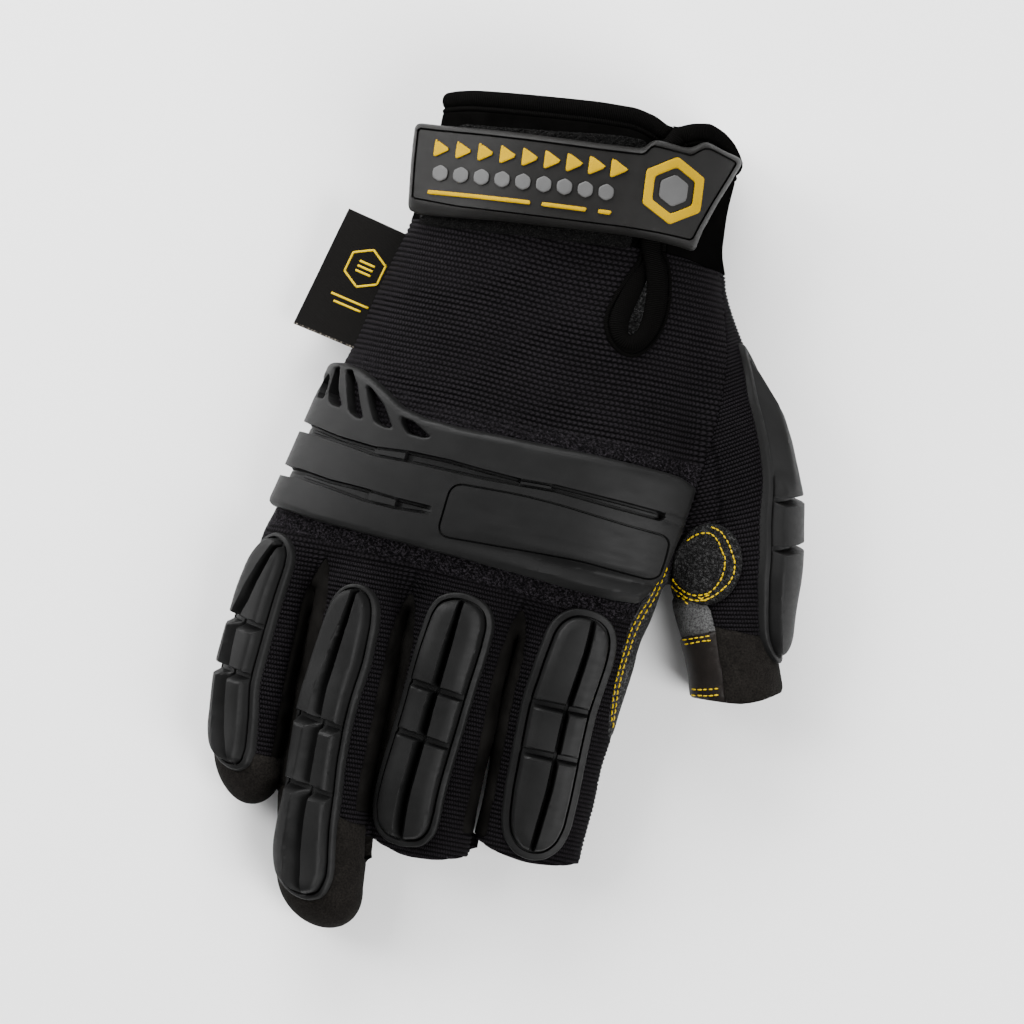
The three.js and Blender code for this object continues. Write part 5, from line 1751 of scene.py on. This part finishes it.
def place(tree, *scale):
    """The place in the glove's frame, scaled along each axis if told so."""
    where = node(tree, "TexCoord", output="Object")
    return node(tree, "Mapping", {"Vector": where, "Scale": scale}) if scale else where


def weave(tree):
    """The two coordinates of the weave, along and across."""
    return axes(node(tree, "UVMap", uv_map="weave"))[:2]


def grey(level, warm=0.0):
    return (level * (1 + warm), level, level * (1 - warm), 1)


def surface(name, build):
    """A material. build gives its colour, roughness, shine, relief and the relief's depth."""
    material = bpy.data.materials.new(name)
    material.use_nodes = True
    tree = material.node_tree
    color, rough, shine, relief, depth = build(tree)
    shader = tree.nodes["Principled BSDF"].inputs
    connect(shader["Base Color"], color)
    connect(shader["Roughness"], rough)
    connect(shader["Specular IOR Level"], shine)
    connect(shader["Normal"], node(tree, "Bump", {"Height": relief, "Strength": 1.0, "Distance": depth}))
    return material


STITCH = 0.86e-3  # width of a column of knit stitches
RIB = RIB_PITCH * MM


def knit_surface(tree):
    """Columns of stitches that lean to and fro along each rib, and the brushed loops beside the guard. The
    yarn's colour is darkened in the rib valleys and in the gaps between the stitch columns: painted shade.
    """
    where = place(tree)
    along, across = weave(tree)
    ribs = across / RIB
    rib = ribs.fract()
    lean = abs(rib - 0.5) * 0.9 + ribs.calc("FLOOR") * 0.43
    # stitch is relief, and also darkens the colour in the gaps between stitch columns: painted shade
    stitch = 1.0 - (along / STITCH + lean).fract().zigzag() ** 1.3
    # Painted shade: the colour falls to near black in each rib valley and stays light on the crests
    crest_and_painted_valley_shade = (rib.zigzag() ** 1.3).spread(0.1, 0.85, 1.1, 0.0)
    fibre = noise(where, 0.5e-3, 3.0, 0.8)
    curl = cells(where, 0.62e-3) + noise(where, 0.3e-3, 3.0, 0.7)
    loose = node(tree, "Attribute", output="Fac", attribute_name="loops")
    height = node(tree, "Mix", {0: loose, 2: stitch * 0.6 + fibre * 0.5, 3: curl * 1.2})
    # Yarn colour: painted shade from the stitch gaps and rib valleys, times random fibre tone
    shade = stitch.spread(0.05, 0.75, 0.0, 1.25) * (crest_and_painted_valley_shade * fibre.spread(0.35, 0.65, 0.25, 1.5))
    shade = shade * noise(where, 14e-3).spread(0.3, 0.7, 0.8, 1.15)
    yarn = blend(shade, (0.0005, 0.0004, 0.0005, 1), (0.0082, 0.0072, 0.0084, 1))
    speck = noise(where, 0.7e-3, 3.0, 0.85).spread(0.48, 0.64)
    looped = blend(speck, (0.0008, 0.0007, 0.0009, 1), (0.021, 0.0185, 0.0215, 1))
    return blend(loose, yarn, looped), 0.85, 0.04, height, 0.25e-3


def rubber_surface(dark, light, shine=0.12):
    def build(tree):
        where = place(tree)
        grain = noise(where, 0.22e-3, 2.0, 0.6)
        smear = noise(place(tree, 0.35, 1.6, 1.0), 3e-3, 3.0)
        color = blend(noise(where, 9e-3, 4.0, 0.6).spread(0.32, 0.68), dark, light)
        return color, smear.spread(0.3, 0.7, 0.45, 0.55) + grain * 0.06, shine, grain, 0.022e-3
    return build


def neoprene_surface(tree):
    where = place(tree)
    color = clouds(where, 11e-3, grey(0.0009, 0.04), grey(0.0019, 0.04))
    return color, 0.85, 0.0, noise(where, 0.28e-3, 2.0, 0.65), 0.09e-3


def binding_surface(tree):
    """Jersey with hairlines across the tape."""
    where = place(tree)
    along = weave(tree)[0]
    line = (along / 0.52e-3 + noise(where, 2.5e-3) * 0.5).fract().zigzag()
    relief = line * 1.1 + noise(where, 0.28e-3, 2.0, 0.65) * 0.4
    return blend(line.spread(0.2, 0.9), grey(0.0008, 0.04), grey(0.004, 0.04)), 0.85, 0.0, relief, 0.09e-3


def stretch_surface(tree):
    color = clouds(place(tree), 8e-3, grey(0.0025, 0.08), grey(0.006, 0.08))
    return color, 0.85, 0.02, noise(place(tree, 1.0, 0.35, 1.0), 0.3e-3, 2.0, 0.6), 0.05e-3


def leather_surface(low, high, speckle):
    """Split leather: cells of grain, with worn specks."""
    def build(tree):
        where = place(tree)
        shift = node(tree, "TexNoise", {"Vector": where, "Scale": 900.0}, output="Color")
        shift = node(tree, "VectorMath", {0: shift, 3: 0.00035}, operation="SCALE")
        warped = node(tree, "VectorMath", {0: where, 1: shift}, operation="ADD")
        grain = cells(warped, 0.85e-3, "DISTANCE_TO_EDGE").spread(0.0, 0.22)
        speck = noise(where, 0.95e-3, 4.0, 0.85).spread(0.5, 0.68)
        color = blend(speck, blend(grain, low, high), speckle)
        return color, 0.75, 0.08, grain + noise(where, 0.25e-3, 3.0, 0.65) * 0.5, 0.2e-3
    return build


def satin_surface(tree):
    """Fine shiny lining cloth."""
    fine = noise(place(tree, 0.3, 1.0, 1.0), 0.22e-3, 2.0, 0.6)
    shade = noise(place(tree), 6e-3, 3.0).spread(0.3, 0.7, 0.5, 1.0) * fine.spread(0.3, 0.7, 0.6, 1.0)
    color = blend(shade, (0.0016, 0.0013, 0.0011, 1), (0.012, 0.0098, 0.0088, 1))
    return color, 0.5, 0.1, fine, 0.04e-3


def suede_surface(dark, light):
    def build(tree):
        where = place(tree)
        nap = noise(where, 0.55e-3, 4.0, 0.85)
        brushed = noise(where, 4.5e-3, 4.0, 0.65).spread(0.3, 0.7, 0.6, 1.1)
        return blend(nap.spread(0.36, 0.64) * brushed, dark, light), 0.95, 0.05, nap, 0.12e-3
    return build


def pile_surface(tree):
    where = place(tree)
    curl = cells(where, 0.55e-3) + noise(where, 0.25e-3, 3.0, 0.7)
    speck = noise(where, 0.26e-3, 3.0, 0.8).spread(0.52, 0.72)
    return blend(speck, grey(0.0008), grey(0.026, 0.03)), 0.9, 0.06, curl, 0.3e-3


def label_surface(tree):
    """Twill, with pale loose threads along its cut end."""
    where = place(tree)
    along, across = weave(tree)
    twill = ((along + across) / 0.55e-3).fract().zigzag()
    relief = twill * 0.7 + noise(where, 0.3e-3) * 0.5
    frayed = noise(where, 1.2e-3, 3.0, 0.7).spread(0.42, 0.6)
    picks = (along / 0.9e-3).fract().spread(0.42, 0.5)
    fringe = across.spread(35.9e-3, 36.2e-3) * picks * frayed
    cloth = blend(twill, grey(0.0012, 0.1), grey(0.0026, 0.14))
    return blend(fringe, cloth, (0.2, 0.18, 0.15, 1)), 0.75, 0.05, relief, 0.06e-3


def thread_surface(tree):
    twist = noise(place(tree), 0.3e-3, 3.0, 0.6)
    color = blend(twist.spread(0.3, 0.7), (0.34, 0.225, 0.0, 1), (0.5, 0.34, 0.001, 1))
    return color, 0.55, 0.03, twist, 0.05e-3


def floor_surface(tree):
    color = blend(noise(place(tree), 0.35), grey(0.92), grey(0.95))
    return color, 0.8, 0.5, noise(place(tree), 2e-3), 0.01e-3


KNIT = surface("knit", knit_surface)
RUBBER = surface("rubber", rubber_surface(grey(0.0042), grey(0.0058)))
TAB_RUBBER = surface("tab_rubber", rubber_surface(grey(0.005, 0.05), grey(0.0068, 0.05)))
YELLOW_RUBBER = surface("yellow_rubber", rubber_surface((0.31, 0.19, 0.0, 1), (0.36, 0.22, 0.0, 1), 0.0))
GREY_RUBBER = surface("grey_rubber", rubber_surface(grey(0.06), grey(0.07)))
NEOPRENE = surface("neoprene", neoprene_surface)
BINDING = surface("binding", binding_surface)
STRETCH = surface("stretch", stretch_surface)
LEATHER = surface("leather", leather_surface(grey(0.001), grey(0.006), grey(0.042)))
WORN_LEATHER = surface("worn_leather", leather_surface(grey(0.002), grey(0.014), grey(0.075)))
SATIN = surface("satin", satin_surface)
SUEDE = surface("suede", suede_surface(grey(0.0016, 0.14), grey(0.011, 0.12)))
GREY_SUEDE = surface("grey_suede", suede_surface(grey(0.012), grey(0.11)))
PILE = surface("pile", pile_surface)
LABEL = surface("label", label_surface)
THREAD = surface("thread", thread_surface)
FLOOR = surface("floor", floor_surface)


# The glove's pieces
def dress():
    knit_piece("back_panel", back_mesh, KNIT, hand_rib, round_the_hand, fuzz=guard_fuzz)
    knit_piece("thumb_panel", thumb_knit, KNIT, thumb_rib, round_the_thumb)
    plain_piece("palm_panel", palm_mesh, WORN_LEATHER, "leather")
    plain_piece("ring_fingertip", ring_tip, SUEDE, "suede")
    plain_piece("little_fingertip", little_tip, SUEDE, "suede")
    plain_piece("fourchettes", walls, STRETCH, "stretch", replaced=[
        "fourchette_little_ring", "fourchette_ring_middle", "fourchette_middle_index"])
    plain_piece("thumb_tip", thumb_tip, SUEDE, "suede")
    plain_piece("thumb_palm", thumb_leather, LEATHER, "leather")
    plain_piece("thumb_grey_patch", grey_patch, GREY_SUEDE, "grey_suede")
    plain_piece("thumb_hem_patch", thumb_hem, SATIN, "leather", dip=0.8, lift=HEM_LIFT)
    cuff(NEOPRENE, BINDING)
    loop_patch(PILE)
    keyhole(BINDING)
    closure_tab(TAB_RUBBER)
    tab_motifs(YELLOW_RUBBER, GREY_RUBBER)
    crotch_patch(LEATHER)
    side_label(LABEL)
    label_figure(THREAD)
    stitches(THREAD)
    for guard in GUARDS:
        finger_guard(guard, RUBBER)
    knuckle_guard(RUBBER)


# Floor, light and camera
CAMERA_HEIGHT = 1600.0
CAMERA_ROLL = 12.0
FRAME_WIDTH = 1024 / 3.5  # millimetres across the picture at FOCUS_HEIGHT
FOCUS_HEIGHT = 25.0
FLOOR_HALF = 4.0  # metres
LIGHT_TARGET = Vector((0, 0, 0.02))
SKY_STRENGTH = 1.5


def floor():
    mesh = bpy.data.meshes.new("floor")
    corners = [(x * FLOOR_HALF, y * FLOOR_HALF, 0) for x, y in [(-1, -1), (1, -1), (1, 1), (-1, 1)]]
    mesh.from_pydata(corners, [], [(0, 1, 2, 3)])
    mesh.materials.append(FLOOR)
    linked("floor", mesh)


def softbox(name, where, size, power):
    light = bpy.data.lights.new(name, "AREA")
    light.shape = "RECTANGLE"
    light.size, light.size_y = size
    light.energy = power
    made = linked(name, light)
    made.location = where
    made.rotation_euler = (LIGHT_TARGET - Vector(where)).to_track_quat("-Z", "Y").to_euler()


def sky():
    """Soft light from all round, dim overhead and dimmer beyond the little finger's tip."""
    world = bpy.data.worlds.new("studio")
    world.use_nodes = True
    tree = world.node_tree
    x, y, z = axes(node(tree, "TexCoord", output="Generated"))
    near = (x * 0.6 + y * 0.8).spread(-0.8, 0.1, 0.35, 1.0)
    background = tree.nodes["Background"].inputs
    connect(background["Color"], blend(near, grey(0.0), blend(z.spread(0.2, 0.85), grey(1.0), grey(0.2))))
    connect(background["Strength"], SKY_STRENGTH)
    bpy.context.scene.world = world


def camera():
    data = bpy.data.cameras.new("camera")
    made = linked("camera", data)
    bpy.context.scene.camera = made
    data.sensor_width = 36
    data.lens = data.sensor_width * (CAMERA_HEIGHT - FOCUS_HEIGHT) / FRAME_WIDTH
    data.clip_start, data.clip_end = 0.1, 10
    made.location = (-CENTRE[0] * MM, -CENTRE[1] * MM, CAMERA_HEIGHT * MM)
    made.rotation_euler = (0, 0, math.radians(CAMERA_ROLL))


dress()
floor()
sky()
softbox("left_box", (-1.0, 0.35, 0.5), (0.6, 1.3), 30)
softbox("right_box", (0.8, -0.35, 0.9), (0.6, 1.1), 26)
softbox("far_box", (-0.45, 1.0, 0.55), (0.9, 0.5), 32)
camera()
